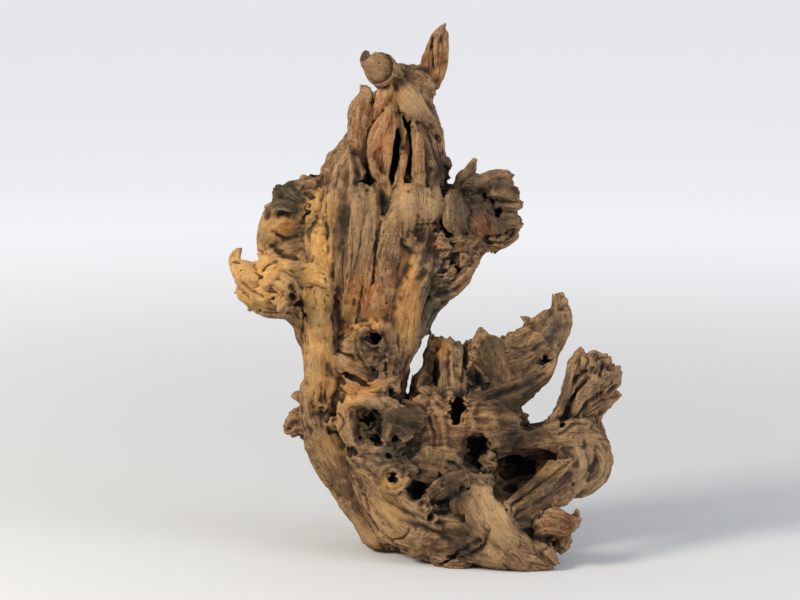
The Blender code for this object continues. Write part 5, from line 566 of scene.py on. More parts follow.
# name: (depth over width, fluting, [(across, down, depth, radius), ...])
HOLLOWS = {
    "slot_black": (4.0, 0.10, [(397, 126, 0, 2), (396, 140, 0, 4.5), (395, 160, 0, 5), (393, 178, 0, 4),
        (392, 194, -2, 1.5)]),
    "slot_left": (3.0, 0.10, [(370, 112, 0, 1.5), (370, 128, 0, 2.4), (367, 146, -2, 2.4),
        (365, 162, -4, 3.5), (369, 176, -6, 4), (360, 186, -8, 3)]),
    "slot_right": (3.0, 0.10, [(402, 114, 2, 1.5), (406, 124, 0, 3.2), (410, 136, 0, 3),
        (411, 150, 0, 2.2), (409, 168, -2, 3), (408, 178, -4, 1.5)]),
    "slot_finger": (3.0, 0.06, [(425.5, 142, -6, 1.2), (426.5, 156, -8, 1.8), (427, 170, -8, 1.8),
        (427, 180, -8, 1)]),
    "slot_grey": (1.5, 0.04, [(381, 184, -22, 5), (385, 194, -22, 7), (385.5, 206, -23, 5.5),
        (384.5, 220, -25, 1.5)]),
    "gap_trunk": (10.0, 0.03, [(428, 330, 26, 2), (425, 340, 26, 3), (420, 350, 27, 3.6),
        (415.5, 361, 28, 4), (410, 378, 28, 4.2), (407.5, 392, 28, 4.6), (406.5, 403, 27, 3)]),
    "gap_arm": (5.0, 0.04, [(566, 350, 0, 4), (561, 368, 0, 4.5), (558, 384, 0, 5), (549, 402, 0, 8),
        (538, 413, 0, 8)]),
    "valley_low": (1.6, 0.05, [(337, 286, -16, 1.5), (336, 300, -14, 3.6), (334, 314, -12, 4.4),
        (333, 330, -10, 2)]),
    "under_plate": (0.8, 0.10, [(410, 228, -32, 1), (420, 228, -30, 1.8), (434, 227, -27, 1.6)]),
    "pit_finger": (1.0, 0.05, [(425, 186, -40, 2.4), (425, 187, -10, 1.6)]),
    "pit_red": (1.5, 0.05, [(376, 154, -30, 3.2), (377, 155, -4, 3)]),
    "pit_red_small": (0.8, 0.05, [(389, 142, -30, 2.4), (388, 143, -8, 2)]),
    "pit_head": (0.6, 0.05, [(413, 85, -20, 4), (416, 87, 6, 2)]),
    "ear_root": (2.0, 0.05, [(414, 68, 12, 1.0), (419, 73, 10, 1.5), (427, 77, 10, 1.0)]),
    "under_saw": (1.5, 0.08, [(372, 86, -8, 2), (380, 86, -8, 2.2), (389, 84, -4, 1.8)]),
    "wing_pit": (0.9, 0.14, [(452, 266, -34, 14), (453, 266, -14, 12), (456, 264, 2, 6)]),
    "wing_moss": (0.8, 0.15, [(474, 197, -30, 11), (476, 198, -8, 10), (478, 199, 0, 6)]),
    "wing_dark": (1.0, 0.10, [(491, 200, -30, 4), (491, 200, 2, 3)]),
    "wing_fold": (1.4, 0.10, [(498, 213, -30, 5), (500, 213, -6, 3)]),
    "wing_crease": (2.0, 0.05, [(503, 211, -16, 1), (510, 214, -17, 1.8), (518, 210, -14, 1)]),
    "knob_shade": (1.2, 0.10, [(306, 204, -12, 2.5), (304, 216, -18, 5.5), (299, 228, -20, 6.5),
        (291, 236, -22, 4)]),
    "knob_hole": (1.0, 0.2, [(281, 238, -34, 5), (283, 237, -14, 3)]),
    "gold_shade": (1.0, 0.12, [(272, 282, -60, 5), (277, 289, -56, 6), (286, 298, -50, 6),
        (300, 306, -30, 6), (306, 318, -12, 4)]),
    "gold_crease": (2.0, 0.05, [(267, 301, -26, 1.2), (275, 298, -28, 2.2), (284, 297, -26, 1.5)]),
    "eye_hole": (0.9, 0.14, [(374, 338, -50, 7.5), (374, 338, -24, 7.5), (375, 341, -6, 4)]),
    "eye_low": (1.0, 0.05, [(371, 363, -50, 3), (371, 363, -22, 2)]),
    "slit": (3.0, 0.05, [(338, 351, -20, 1), (345, 353, -22, 1.8), (353, 357, -22, 1.0)]),
    "shelf_shade": (2.5, 0.08, [(340, 374, -18, 1.6), (350, 377, -20, 2.2), (360, 381, -22, 2),
        (370, 388, -22, 1.6)]),
    "mid_pit": (1.1, 0.3, [(375, 413, -50, 5.5), (374, 415, -30, 6.5), (372, 418, -12, 4)]),
    "mid_pit_side": (1.0, 0.3, [(364, 421, -50, 6), (365, 422, -16, 5)]),
    "mid_pit_left": (1.0, 0.3, [(361, 437, -50, 5), (362, 437, -20, 4)]),
    "mid_pit_low": (1.0, 0.3, [(377, 441, -54, 6.5), (377, 441, -24, 5)]),
    "pit_a": (0.9, 0.14, [(396, 446, -60, 5), (396, 446, -34, 4)]),
    "pit_b": (0.9, 0.14, [(406, 455, -64, 6), (406, 456, -38, 5)]),
    "pit_c": (0.9, 0.14, [(388, 455, -60, 4.5), (388, 456, -38, 4)]),
    "pit_ring": (0.9, 0.10, [(392, 477, -70, 8), (393, 478, -44, 6)]),
    "pit_round": (1.15, 0.06, [(416, 489, -80, 10.5), (416, 490, -56, 9.5), (418, 490, -34, 5)]),
    "pit_low_left": (0.7, 0.12, [(323, 454, -50, 6), (326, 455, -22, 4)]),
    "soft_hollow": (0.8, 0.10, [(350, 452, -50, 10), (350, 452, -22, 6)]),
    "oval_hole": (1.6, 0.03, [(456, 412, -70, 8.5), (457, 411, -30, 8.5), (461, 407, 10, 7)]),
    "cave_left": (1.2, 0.08, [(475, 452, -80, 15), (476, 452, -50, 15), (480, 452, -24, 12),
        (486, 450, -6, 7)]),
    "cave_left_low": (1.0, 0.2, [(470, 462, -70, 6), (471, 462, -34, 5)]),
    "cave_gap": (1.2, 0.1, [(493, 454, -70, 5), (493, 455, -30, 5), (497, 458, -8, 4)]),
    "cave_big": (2.6, 0.05, [(499, 500, -64, 7), (504, 487, -62, 13), (512, 475, -58, 16),
        (526, 464, -52, 15), (540, 457, -46, 10), (550, 452, -40, 4)]),
    "cave_deep": (0.9, 0.10, [(506, 472, -40, 16), (514, 468, -10, 19), (526, 462, 8, 15)]),
    "cave_low": (1.0, 0.1, [(502, 492, -64, 9), (504, 489, -34, 11), (510, 482, -8, 9)]),
    "foot_cave": (1.3, 0.08, [(520, 529, -92, 4), (530, 531, -90, 7), (538, 530, -88, 5)]),
    "foot_cup": (1.0, 0.14, [(556, 517, -98, 3.5), (555, 518, -88, 2)]),
    "arm_groove": (1.6, 0.06, [(566, 416, -26, 1.6), (571, 403, -28, 2.6), (577, 392, -28, 2.6),
        (585, 385, -28, 1.6)]),
    "arm_pit": (1.0, 0.06, [(560, 424, -34, 3.4), (561, 424, -12, 2.4)]),
    "crown_pit": (1.2, 0.10, [(582, 376, -24, 2.5), (590, 376, -24, 3.8), (594, 368, -22, 3)]),
    "fin_groove": (1.6, 0.05, [(580, 412, -12, 1.2), (592, 402, -14, 2), (606, 398, -12, 1.8)]),
    "slab_groove": (1.6, 0.06, [(596, 438, -20, 1.2), (594, 450, -26, 2), (591, 462, -28, 2),
        (588, 472, -28, 1.2)]),
    "pillar_groove": (2.0, 0.08, [(436, 350, 2, 2), (435.5, 362, -2, 4.5), (436, 374, -4, 5.5),
        (438, 385, -6, 4)]),
    "fan_crack": (2.0, 0.03, [(490.5, 347, -14, 0.8), (493, 352, -16, 1.0), (497, 360, -20, 1.8),
        (500, 357, -20, 1.2)]),
    "fan_pit": (2.0, 0.05, [(475, 350, -10, 1.2), (480, 354, -12, 1.8)]),
    "fan_rough": (1.2, 0.16, [(472, 366, -16, 4), (477, 378, -18, 8), (484, 390, -20, 5)]),
    "arm_mouth": (1.4, 0.12, [(533, 366, -22, 2.5), (541, 363, -24, 5.5), (549, 359, -24, 6),
        (554, 356, -22, 3)]),
    "arm_mouth_deep": (1.0, 0.12, [(549, 358, -24, 4.5), (544, 361, -6, 3.5)]),
    "under_arm": (1.1, 0.05, [(490, 410, -40, 3), (505, 404, -38, 5), (519, 396, -34, 5),
        (530, 388, -28, 3)]),
    "fold_cut": (1.8, 0.08, [(428, 518, -66, 2), (440, 514, -74, 4), (455, 516, -76, 4),
        (466, 520, -76, 2)]),
    "fold_cut_low": (1.8, 0.08, [(440, 566, -70, 2), (462, 552, -84, 3.5), (480, 540, -88, 3)]),
    "back_pit_a": (1.3, 0.14, [(389, 176, 96, 8), (391, 178, 56, 6)]),
    "back_pit_b": (1.5, 0.14, [(352, 286, 96, 8), (354, 290, 56, 6)]),
    "back_pit_c": (1.1, 0.16, [(470, 462, 100, 12), (468, 462, 48, 9)]),
    "back_pit_d": (1.0, 0.16, [(512, 458, 90, 8), (510, 458, 34, 6)]),
    "back_pit_e": (1.6, 0.14, [(389, 432, 100, 8), (388, 436, 58, 6)]),
    "back_pit_f": (1.0, 0.14, [(566, 444, 70, 6), (566, 444, 12, 5)]),
    "back_slot": (2.6, 0.08, [(420, 168, 62, 2), (416, 200, 70, 4), (406, 236, 72, 4),
        (408, 280, 70, 3.5), (398, 318, 70, 2)]),
    "back_slot_low": (2.4, 0.08, [(352, 372, 66, 2), (358, 410, 70, 3.5), (352, 450, 68, 3.5),
        (360, 486, 66, 2)]),
}

# lumps left standing inside the hollows
INNER = {
    "cave_bulge": (0.8, 0.2, [(490, 446, -14, 5), (487, 452, -28, 7.5), (488, 460, -36, 7),
        (491, 468, -38, 6)]),
    "pit_lump_a": (0.9, 0.14, [(366, 430, -10, 6), (364, 432, -26, 4.5)]),
    "pit_lump_b": (0.9, 0.14, [(374, 428, -14, 5), (375, 435, -28, 4)]),
    "wing_inner_a": (0.9, 0.16, [(444, 262, 4, 7), (446, 266, -8, 6), (454, 272, -8, 5)]),
    "wing_inner_b": (0.9, 0.16, [(458, 258, 4, 6), (460, 262, -4, 5), (452, 256, -6, 4)]),
    "moss_lump": (0.9, 0.16, [(472, 200, 2, 6), (478, 198, -2, 5)]),
    "mouth_tongue": (0.7, 0.10, [(530, 366, -8, 5), (538, 364, -12, 4.5), (545, 362, -12, 3)]),
    "round_lump": (0.9, 0.14, [(411, 494, -40, 4), (410, 497, -48, 3)]),
}

# creases and swellings on the surface: near or far side, then (across, down, half width, height in squares)
CREASES = {
    "crack_base": ("near", [(364, 490, 1.8, -1), (366, 502, 2, -3), (370, 516, 2.2, -3.5),
        (379, 532, 2.2, -3), (392, 541, 2, -3), (404, 538, 2, -2.5), (410, 528, 2, -1)]),
    "crack_base_fork": ("near", [(366, 500, 2, -2), (360, 490, 2, -1.5), (357, 478, 2, -0.5)]),
    "face_rim": ("near", [(328, 215, 4, 1), (331, 240, 4, 2), (329, 280, 4, 2), (328, 312, 4, 1)]),
    "knot_socket": ("near", [(371, 342, 16, -6), (374, 350, 15, -5)]),
    "knot_brow": ("near", [(353, 340, 5, 1), (358, 329, 6, 3), (371, 322, 6, 3), (387, 326, 6, 3),
        (394, 338, 5, 1)]),
    "knot_crease": ("near", [(357, 332, 2.5, -2), (355, 345, 3, -3), (359, 358, 3, -3),
        (368, 369, 2.5, -2)]),
    "knot_crease_inner": ("near", [(362, 338, 2, -1.5), (361, 350, 2, -2), (367, 361, 2, -1)]),
    "knot_crease_right": ("near", [(384, 333, 2, -1.5), (388, 344, 2.4, -2), (385, 356, 2.4, -2),
        (377, 366, 2, -1)]),
    "knot_spot": ("near", [(370, 360, 5, 3), (372, 357, 5, 3)]),
    "knot_cheek": ("near", [(379, 345, 6, 3), (384, 351, 5, 2)]),
    "patch_crease": ("near", [(338, 351, 3, -2), (346, 354, 3, -4), (354, 357, 2.5, -1)]),
    "patch_low": ("near", [(341, 370, 3, -2), (352, 378, 3, -3), (366, 384, 3, -3), (374, 389, 3, -1)]),
    "patch_swell": ("near", [(344, 345, 9, 3), (346, 362, 9, 3)]),
    "bowl_mid": ("near", [(365, 424, 15, -6), (376, 432, 13, -5)]),
    "bowl_ring": ("near", [(392, 478, 11, -3)]),
    "bowl_round": ("near", [(416, 489, 16, -3)]),
    "ring_crest": ("near", [(380, 474, 3, 1), (386, 466, 3.5, 3), (398, 464, 3.5, 3),
        (406, 472, 3.5, 3), (406, 486, 3.5, 3), (396, 492, 3.5, 2), (384, 490, 3, 1)]),
    "swirl_ring": ("near", [(326, 422, 2.4, -3), (330, 414, 2.4, -3), (339, 414, 2.4, -3),
        (343, 423, 2.4, -3), (339, 432, 2.4, -3), (330, 433, 2.4, -2)]),
    "swirl_eye": ("near", [(334, 423, 3, -2)]),
    "face_pit": ("near", [(325, 453, 9, -3)]),
    "fold_shadow": ("near", [(452, 560, 5, -2), (470, 556, 8, -5), (484, 545, 7, -5),
        (488, 532, 5, -2)]),
    "plate_seam": ("near", [(380, 222, 3, -3), (375, 250, 3, -3), (372, 280, 3, -2),
        (368, 300, 2, -1)]),
    "plate_lip": ("near", [(416, 227, 2.4, -2), (428, 227, 2.6, -3), (438, 225, 2, -2)]),
    "neck_smooth": ("near", [(404, 94, 9, 1.5), (418, 112, 10, 1.5)]),
    "ear_ridge": ("near", [(442, 30, 2, 1), (436, 42, 2.4, 2), (434.5, 54, 2, 1)]),
    "ear_crack": ("near", [(432, 38, 2, -2), (431, 52, 2.4, -3), (434, 70, 2, -2)]),
    "ear_crack_b": ("near", [(441, 36, 2, -1.5), (443, 52, 2, -2), (441, 66, 2, -1)]),
    "saw_rim": ("near", [(386, 58, 2, 1), (389, 66, 2, 1.2), (386, 76, 2, 1)]),
    "saw_crack": ("near", [(371, 57, 1.4, -1), (375, 65, 1.6, -2.2), (381, 74, 1.4, -1)]),
    "saw_crack_b": ("near", [(386, 60, 1.3, -0.8), (379, 64, 1.4, -1.6), (370, 72, 1.3, -0.8)]),
    "fan_rib_a": ("near", [(500, 352, 3, 0.8), (520, 346, 4, 1.2), (540, 334, 4, 1.2),
        (552, 320, 3, 0.8)]),
    "fan_rib_b": ("near", [(502, 364, 3, 0.8), (522, 360, 3, 1.2), (538, 352, 3, 0.8)]),
    "fan_groove": ("near", [(508, 346, 3, -1), (524, 352, 4, -1.4), (540, 346, 4, -1.4),
        (556, 330, 3, -1)]),
    "arm_groove_a": ("near", [(562, 424, 4, -3), (568, 404, 4, -6), (576, 390, 4, -6),
        (588, 378, 4, -3)]),
    "arm_groove_d": ("near", [(584, 372, 3, -2), (588, 362, 3, -4), (586, 352, 2.5, -3)]),
    "arm_groove_e": ("near", [(600, 376, 3, -3), (604, 366, 3, -4), (603, 358, 2.5, -3)]),
    "arm_crest_a": ("near", [(560, 414, 4, 2), (572, 394, 4, 3), (582, 380, 4, 3)]),
    "wing_fan_a": ("near", [(486, 238, 2.5, -2), (500, 236, 3, -3), (514, 230, 2.5, -2)]),
    "wing_fan_b": ("near", [(486, 242, 2.5, -2), (498, 244, 3, -3), (508, 243, 2.5, -2)]),
    "pillar_cut": ("near", [(448, 350, 3, -2), (447, 366, 4, -3), (449, 384, 4, -2)]),
    "pillar_cut_b": ("near", [(466, 344, 3, -3), (465, 362, 4, -5), (462, 380, 3, -3)]),
    "peak_edge": ("near", [(482, 326, 2.5, 0.5), (478, 345, 4, 1.2), (473, 362, 4, 1)]),
    "peak_edge_b": ("near", [(483, 328, 2.5, 0.5), (490, 350, 4, 1.2), (498, 372, 5, 1.2)]),
    "arm_under": ("near", [(484, 400, 5, -3), (506, 392, 6, -5), (528, 384, 5, -4), (544, 374, 3, -2)]),
    "arm_groove_b": ("near", [(578, 416, 3, -2), (588, 402, 4, -4), (602, 392, 3, -3),
        (612, 384, 3, -1)]),
    "arm_groove_c": ("near", [(560, 434, 3, -2), (574, 424, 4, -3), (586, 424, 4, -2)]),
    "slab_groove_a": ("near", [(584, 440, 4, -1), (582, 456, 6, -2), (572, 474, 6, -2),
        (556, 488, 4, -1)]),
    "slab_groove_b": ("near", [(596, 446, 4, -1), (595, 462, 5, -1.6), (586, 478, 4, -1)]),
    "rib_groove": ("near", [(514, 504, 3, -2), (534, 490, 3, -4), (556, 474, 3, -4),
        (574, 458, 3, -2)]),
    "sole_groove": ("near", [(400, 520, 4, -1), (425, 528, 5, -3), (450, 540, 4, -2)]),
    "sole_groove_b": ("near", [(385, 500, 4, -1), (404, 512, 5, -2.5), (424, 518, 4, -1)]),
    "knob_scar": ("near", [(268, 216, 5, -3), (280, 214, 6, -4), (292, 218, 5, -3)]),
    "knob_scar_low": ("near", [(272, 232, 4, -3), (284, 238, 4, -3), (296, 236, 4, -2)]),
    "gold_hollow": ("near", [(292, 288, 7, -4), (297, 302, 8, -5)]),
    "gold_fold": ("near", [(252, 262, 4, -1), (258, 276, 5, -3.5), (256, 290, 4, -2)]),
    "gold_pit_a": ("near", [(262, 268, 4, -3), (268, 262, 4.5, -4), (276, 260, 4, -2)]),
    "gold_pit_b": ("near", [(242, 284, 4, -3), (250, 292, 5, -4), (262, 296, 4, -2)]),
    "gold_pit_c": ("near", [(272, 246, 4, -2), (284, 254, 5, -4), (296, 258, 4, -3)]),
    "gold_bump": ("near", [(266, 286, 5, 3), (278, 270, 5, 3), (290, 266, 5, 2)]),
    "web_ridge_a": ("near", [(428, 398, 4, 1), (438, 412, 5, 3), (444, 430, 5, 3), (446, 448, 4, 1)]),
    "web_ridge_b": ("near", [(476, 398, 4, 1), (471, 416, 5, 3), (475, 432, 5, 3), (486, 444, 4, 1)]),
    "web_groove": ("near", [(418, 400, 3, -1), (428, 416, 4, -3), (434, 436, 4, -3),
        (436, 452, 3, -1)]),
}

# where the wood is worn smooth, on both sides: (across, down, half width, half height, how smooth)
CALM = [
    (396, 515, 60, 36, 1.0), (336, 470, 40, 44, 0.8), (440, 545, 26, 16, 0.6), (498, 520, 32, 48, 1.0),
    (530, 556, 36, 16, 0.9), (362, 235, 24, 58, 0.95), (420, 204, 30, 28, 0.95), (412, 105, 28, 24, 0.95),
    (376, 67, 18, 18, 1.0), (437, 56, 16, 34, 0.8), (490, 418, 44, 20, 0.6), (455, 440, 26, 30, 0.5),
    (590, 460, 24, 38, 0.8), (508, 358, 30, 26, 0.95), (315, 270, 18, 60, 0.6), (344, 190, 16, 60, 0.9),
    (382, 140, 16, 36, 0.8), (503, 236, 16, 20, 0.8), (390, 270, 26, 60, 0.75), (588, 362, 12, 12, 0.8),
    (360, 128, 14, 36, 0.9), (418, 156, 10, 32, 0.8), (372, 347, 22, 24, 0.8), (548, 334, 22, 26, 0.7),
    (455, 212, 14, 24, 0.8), (545, 480, 34, 26, 0.6), (560, 440, 44, 14, 0.7), (476, 172, 14, 22, 0.8),
    (512, 392, 34, 18, 0.6), (406, 420, 24, 16, 0.7), (343, 250, 14, 60, 0.95), (592, 458, 26, 40, 1.0),
    (562, 522, 20, 16, 0.6), (452, 372, 16, 36, 0.4), (536, 484, 34, 16, 0.8),
]


def on_sheet(across, down, depth):
    """Where a point of the drawing lies in space, in metres from the drawing's middle."""
    side = (across - SHEET_MIDDLE[0]) * SQUARE
    rise = (SHEET_MIDDLE[1] - down) * SQUARE
    back = depth * SQUARE
    beyond = back - rise * math.sin(VIEW_DOWN)
    beyond /= math.cos(VIEW_DOWN) + rise * math.sin(VIEW_DOWN) / VIEW_DISTANCE
    spread = 1 + beyond / VIEW_DISTANCE
    up = spread * rise * math.cos(VIEW_DOWN) - beyond * math.sin(VIEW_DOWN)
    return np.array((spread * side, back, up))


ORIGIN = np.array((
    (ORIGIN_ACROSS - SHEET_MIDDLE[0]) * SQUARE,
    ORIGIN_BACK * SQUARE,
    on_sheet(*FRONT_FOOT)[2],
))


def to_sheet(points):
    """The drawing's across and down for points in space, the other way round from on_sheet."""
    x, y, z = (points + ORIGIN).T
    beyond = y * math.cos(VIEW_DOWN) - z * math.sin(VIEW_DOWN)
    rise = y * math.sin(VIEW_DOWN) + z * math.cos(VIEW_DOWN)
    spread = SQUARE * (1 + beyond / VIEW_DISTANCE)
    return np.stack((SHEET_MIDDLE[0] + x / spread, SHEET_MIDDLE[1] - rise / spread), axis=1)


def limb_path(points, step=PATH_STEP):
    """A smooth curve through a limb's points, as rows of place and radius."""
    rows = np.array([(*(on_sheet(a, d, b) - ORIGIN), r * SQUARE) for a, d, b, r in points])
    rows = np.vstack((2 * rows[0] - rows[1], rows, 2 * rows[-1] - rows[-2]))
    path = []
    for a, b, c, d in zip(rows, rows[1:], rows[2:], rows[3:]):
        count = max(2, int(np.linalg.norm(c[:3] - b[:3]) / step))
        for t in np.linspace(0, 1, count, endpoint=False):
            path.append(0.5 * (2 * b + (c - a) * t + (2 * a - 5 * b + 4 * c - d) * t**2
                               + (3 * b - a - 3 * c + d) * t**3))
    path.append(rows[-2])
    path = np.array(path)
    path[:, 3] = np.maximum(path[:, 3], THINNEST)
    return path


def limb_frames(path):
    """For each row of a path: how far along it is, and its own along, side and depth directions."""
    along = np.gradient(path[:, :3], axis=0)
    along /= np.linalg.norm(along, axis=1)[:, None]
    depth = np.array((0.0, 1.0, 0.0))
    if abs(along[0] @ depth) > NEARLY_STRAIGHT_BACK:
        depth = np.array((0.0, 0.0, 1.0))
    depths = []
    for direction in along:
        depth = depth - direction * (depth @ direction)
        depth = depth / np.linalg.norm(depth)
        depths.append(depth)
    depths = np.array(depths)
    run = np.cumsum(np.r_[0, np.linalg.norm(np.diff(path[:, :3], axis=0), axis=1)])
    return run, along, np.cross(along, depths), depths


def add_limb(bm, name, limb, sides):
    """Lofts one limb from rings of unlike section, with a low dome at each end."""
    thickness, fluting, points = limb
    path = limb_path(points)
    run, along, across, depth = limb_frames(path)
    draw = random.Random(name)
    angle = np.linspace(0, 2 * math.pi, sides, endpoint=False)
    waves = []
    for count, share in FLUTES:
        waves.append((count, share, draw.uniform(0, 2 * math.pi), draw.uniform(-TWIST, TWIST)))
    stations = [(0, -rise, width) for rise, width in reversed(DOME)]
    stations += [(i, 0.0, 1.0) for i in range(len(path))]
    stations += [(len(path) - 1, rise, width) for rise, width in DOME]
    rings = []
    for i, rise, width in stations:
        flute = np.zeros(sides)
        for count, share, start, turn in waves:
            flute += share * np.cos(count * angle + start + turn * run[i])
        reach = path[i, 3] * width * (1 + fluting * flute)
        ring = path[i, :3] + path[i, 3] * rise * along[i] + np.outer(reach * np.cos(angle), across[i])
        ring += np.outer(reach * thickness * np.sin(angle), depth[i])
        rings.append([bm.verts.new(point) for point in ring.tolist()])
    for low, high in zip(rings, rings[1:]):
        for i in range(sides):
            j = (i + 1) % sides
            bm.faces.new((low[i], low[j], high[j], high[i]))
    bm.faces.new(reversed(rings[0]))
    bm.faces.new(rings[-1])


def limbs_object(name, limbs, sides):
    """One object that holds every limb of a table, each a closed tube."""
    bm = bmesh.new()
    for limb_name, limb in limbs.items():
        add_limb(bm, limb_name, limb, sides)
    bmesh.ops.recalc_face_normals(bm, faces=bm.faces)
    mesh = bpy.data.meshes.new(name)
    bm.to_mesh(mesh)
    bm.free()
    piece = bpy.data.objects.new(name, mesh)
    bpy.context.scene.collection.objects.link(piece)
    return piece


def apply_modifiers(piece):
    """Turns what the modifiers make into the object's own mesh."""
    bpy.context.view_layer.update()
    depsgraph = bpy.context.evaluated_depsgraph_get()
    made = bpy.data.meshes.new_from_object(piece.evaluated_get(depsgraph))
    plain = piece.data
    piece.modifiers.clear()
    piece.data = made
    bpy.data.meshes.remove(plain)


def remesh(piece, voxel, soften=0):
    """Grows the tubes of an object together into one skin on a fine grid."""
    grid = piece.modifiers.new("grown together", "REMESH")
    grid.mode = "VOXEL"
    grid.voxel_size = voxel
    if soften:
        smooth = piece.modifiers.new("softened", "SMOOTH")
        smooth.iterations = soften
    apply_modifiers(piece)


def fill_clefts(piece, reach, voxel):
    """Closes the clefts narrower than twice the reach: the skin is swollen, then taken back."""
    for way in (reach, -reach):
        points = vertex_rows(piece.data, "co") + way * vertex_rows(piece.data, "normal")
        piece.data.vertices.foreach_set("co", points.ravel())
        piece.data.update()
        remesh(piece, voxel, soften=1)


def take_in(piece, other):
    """Adds the other object's mesh to the piece and removes the other."""
    bm = bmesh.new()
    bm.from_mesh(piece.data)
    bm.from_mesh(other.data)
    bm.to_mesh(piece.data)
    bm.free()
    bpy.data.objects.remove(other)


def keep_largest(piece):
    """Drops loose scraps, and the skins of sealed gaps, which fills them."""
    bm = bmesh.new()
    bm.from_mesh(piece.data)
    bm.verts.ensure_lookup_table()
    unseen = set(bm.verts)
    groups = []
    while unseen:
        group = [unseen.pop()]
        for vert in group:
            near = {edge.other_vert(vert) for edge in vert.link_edges} & unseen
            unseen -= near
            group.extend(near)
        groups.append(group)
    groups.sort(key=len)
    scraps = [vert for group in groups[:-1] for vert in group]
    bmesh.ops.delete(bm, geom=scraps, context="VERTS")
    bm.to_mesh(piece.data)
    bm.free()


def cut_out(piece, cutter):
    """Cuts the hollows."""
    cut = piece.modifiers.new("hollows", "BOOLEAN")
    cut.operation = "DIFFERENCE"
    cut.solver = "MANIFOLD"
    cut.object = cutter
    apply_modifiers(piece)
    bpy.data.objects.remove(cutter)


class Grain:
    """The limbs' centre lines, which the grain of the wood follows."""

    def __init__(self, limbs):
        draw = random.Random(GRAIN_SEED)
        rows = []
        for _, _, points in limbs.values():
            path = limb_path(points, step=GRAIN_STEP)
            run, along, across, depth = limb_frames(path)
            shift = np.tile([draw.uniform(-5, 5) for _ in range(3)], (len(path), 1))
            rows.append(np.column_stack((path, run, along, across, depth, shift)))
        table = np.vstack(rows)
        self.centre, self.radius, self.run = table[:, :3], table[:, 3], table[:, 4]
        self.along, self.across, self.depth = table[:, 5:8], table[:, 8:11], table[:, 11:14]
        self.shift = table[:, 14:]
        self.tree = kdtree.KDTree(len(table))
        for i, place in enumerate(self.centre):
            self.tree.insert(place, i)
        self.tree.balance()

    def nearest(self, points):
        """The row whose surface lies nearest each point."""
        radius = self.radius
        found = np.empty(len(points), int)
        for i, point in enumerate(points):
            near = self.tree.find_n(point, GRAIN_NEAR)
            found[i] = min((gap - radius[row], row) for _, row, gap in near)[1]
        return found

    def place(self, points, row):
        """Each point's place across, through and along its limb."""
        offset = points - self.centre[row]
        return np.stack((
            (offset * self.across[row]).sum(axis=1),
            (offset * self.depth[row]).sum(axis=1),
            (offset * self.along[row]).sum(axis=1) + self.run[row],
        ), axis=1)


def wave(points, width, stretch=1.0, shift=0.0):
    """Smooth noise, about -1 to 1, with swellings of the given width in metres."""
    rows = points / (width, width, width * stretch) + shift
    return np.array([noise.noise(row) for row in rows.tolist()])


def creases(points, normals):
    """How far the drawn creases and swellings move each point out of the surface, in metres."""
    sheet = to_sheet(points)
    total = np.zeros(len(points))
    for side, rows in CREASES.values():
        rows = np.array(rows, float)
        facing = normals[:, 1] * (1 if side == "far" else -1)
        reach = rows[:, 2].max()
        inside = (sheet > rows[:, :2].min(axis=0) - reach).all(axis=1)
        inside &= (sheet < rows[:, :2].max(axis=0) + reach).all(axis=1) & (facing > 0)
        where = np.flatnonzero(inside)
        best = np.zeros(len(where))
        for start, end in zip(rows, rows[1:]):
            line = end[:2] - start[:2]
            offset = sheet[where] - start[:2]
            t = np.clip(offset @ line / (line @ line), 0, 1)
            gap = np.linalg.norm(offset - t[:, None] * line, axis=1)
            width, height = (start[2:, None] + (end - start)[2:, None] * t)
            fall = np.clip(1 - gap / width, 0, 1)
            height = height * fall * fall * (3 - 2 * fall)
            best = np.where(abs(height) > abs(best), height, best)
        total[where] += best * np.clip(facing[where] * FACING_GAIN, 0, 1)
    return total * SQUARE


def vertex_rows(mesh, name):
    """A mesh's vertex coordinates or normals as an array."""
    values = np.empty(len(mesh.vertices) * 3)
    mesh.vertices.foreach_get(name, values)
    return values.reshape(-1, 3)


def roughen(piece, reach, width):
    """Bends a surface this way and that, so that no limb or hollow stays a plain tube."""
    points = vertex_rows(piece.data, "co")
    shift = [wave(points, width, shift=start) for start in (71.3, 83.9, 97.1)]
    points += reach * np.stack(shift, axis=1)
    piece.data.vertices.foreach_set("co", points.ravel())
    piece.data.update()


def calmness(points):
    """How smooth the wood is worn at each point: 0 is rough, 1 is smooth."""
    sheet = to_sheet(points)
    calm = CALM_AT_LEAST + CALM_GAIN * wave(points, CALM_WIDTH, shift=31.7)
    for across, down, wide, high, strength in CALM:
        gap = ((sheet[:, 0] - across) / wide) ** 2 + ((sheet[:, 1] - down) / high) ** 2
        calm = np.maximum(calm, strength * np.exp(-gap * gap))
    return np.clip(calm, 0, 1)


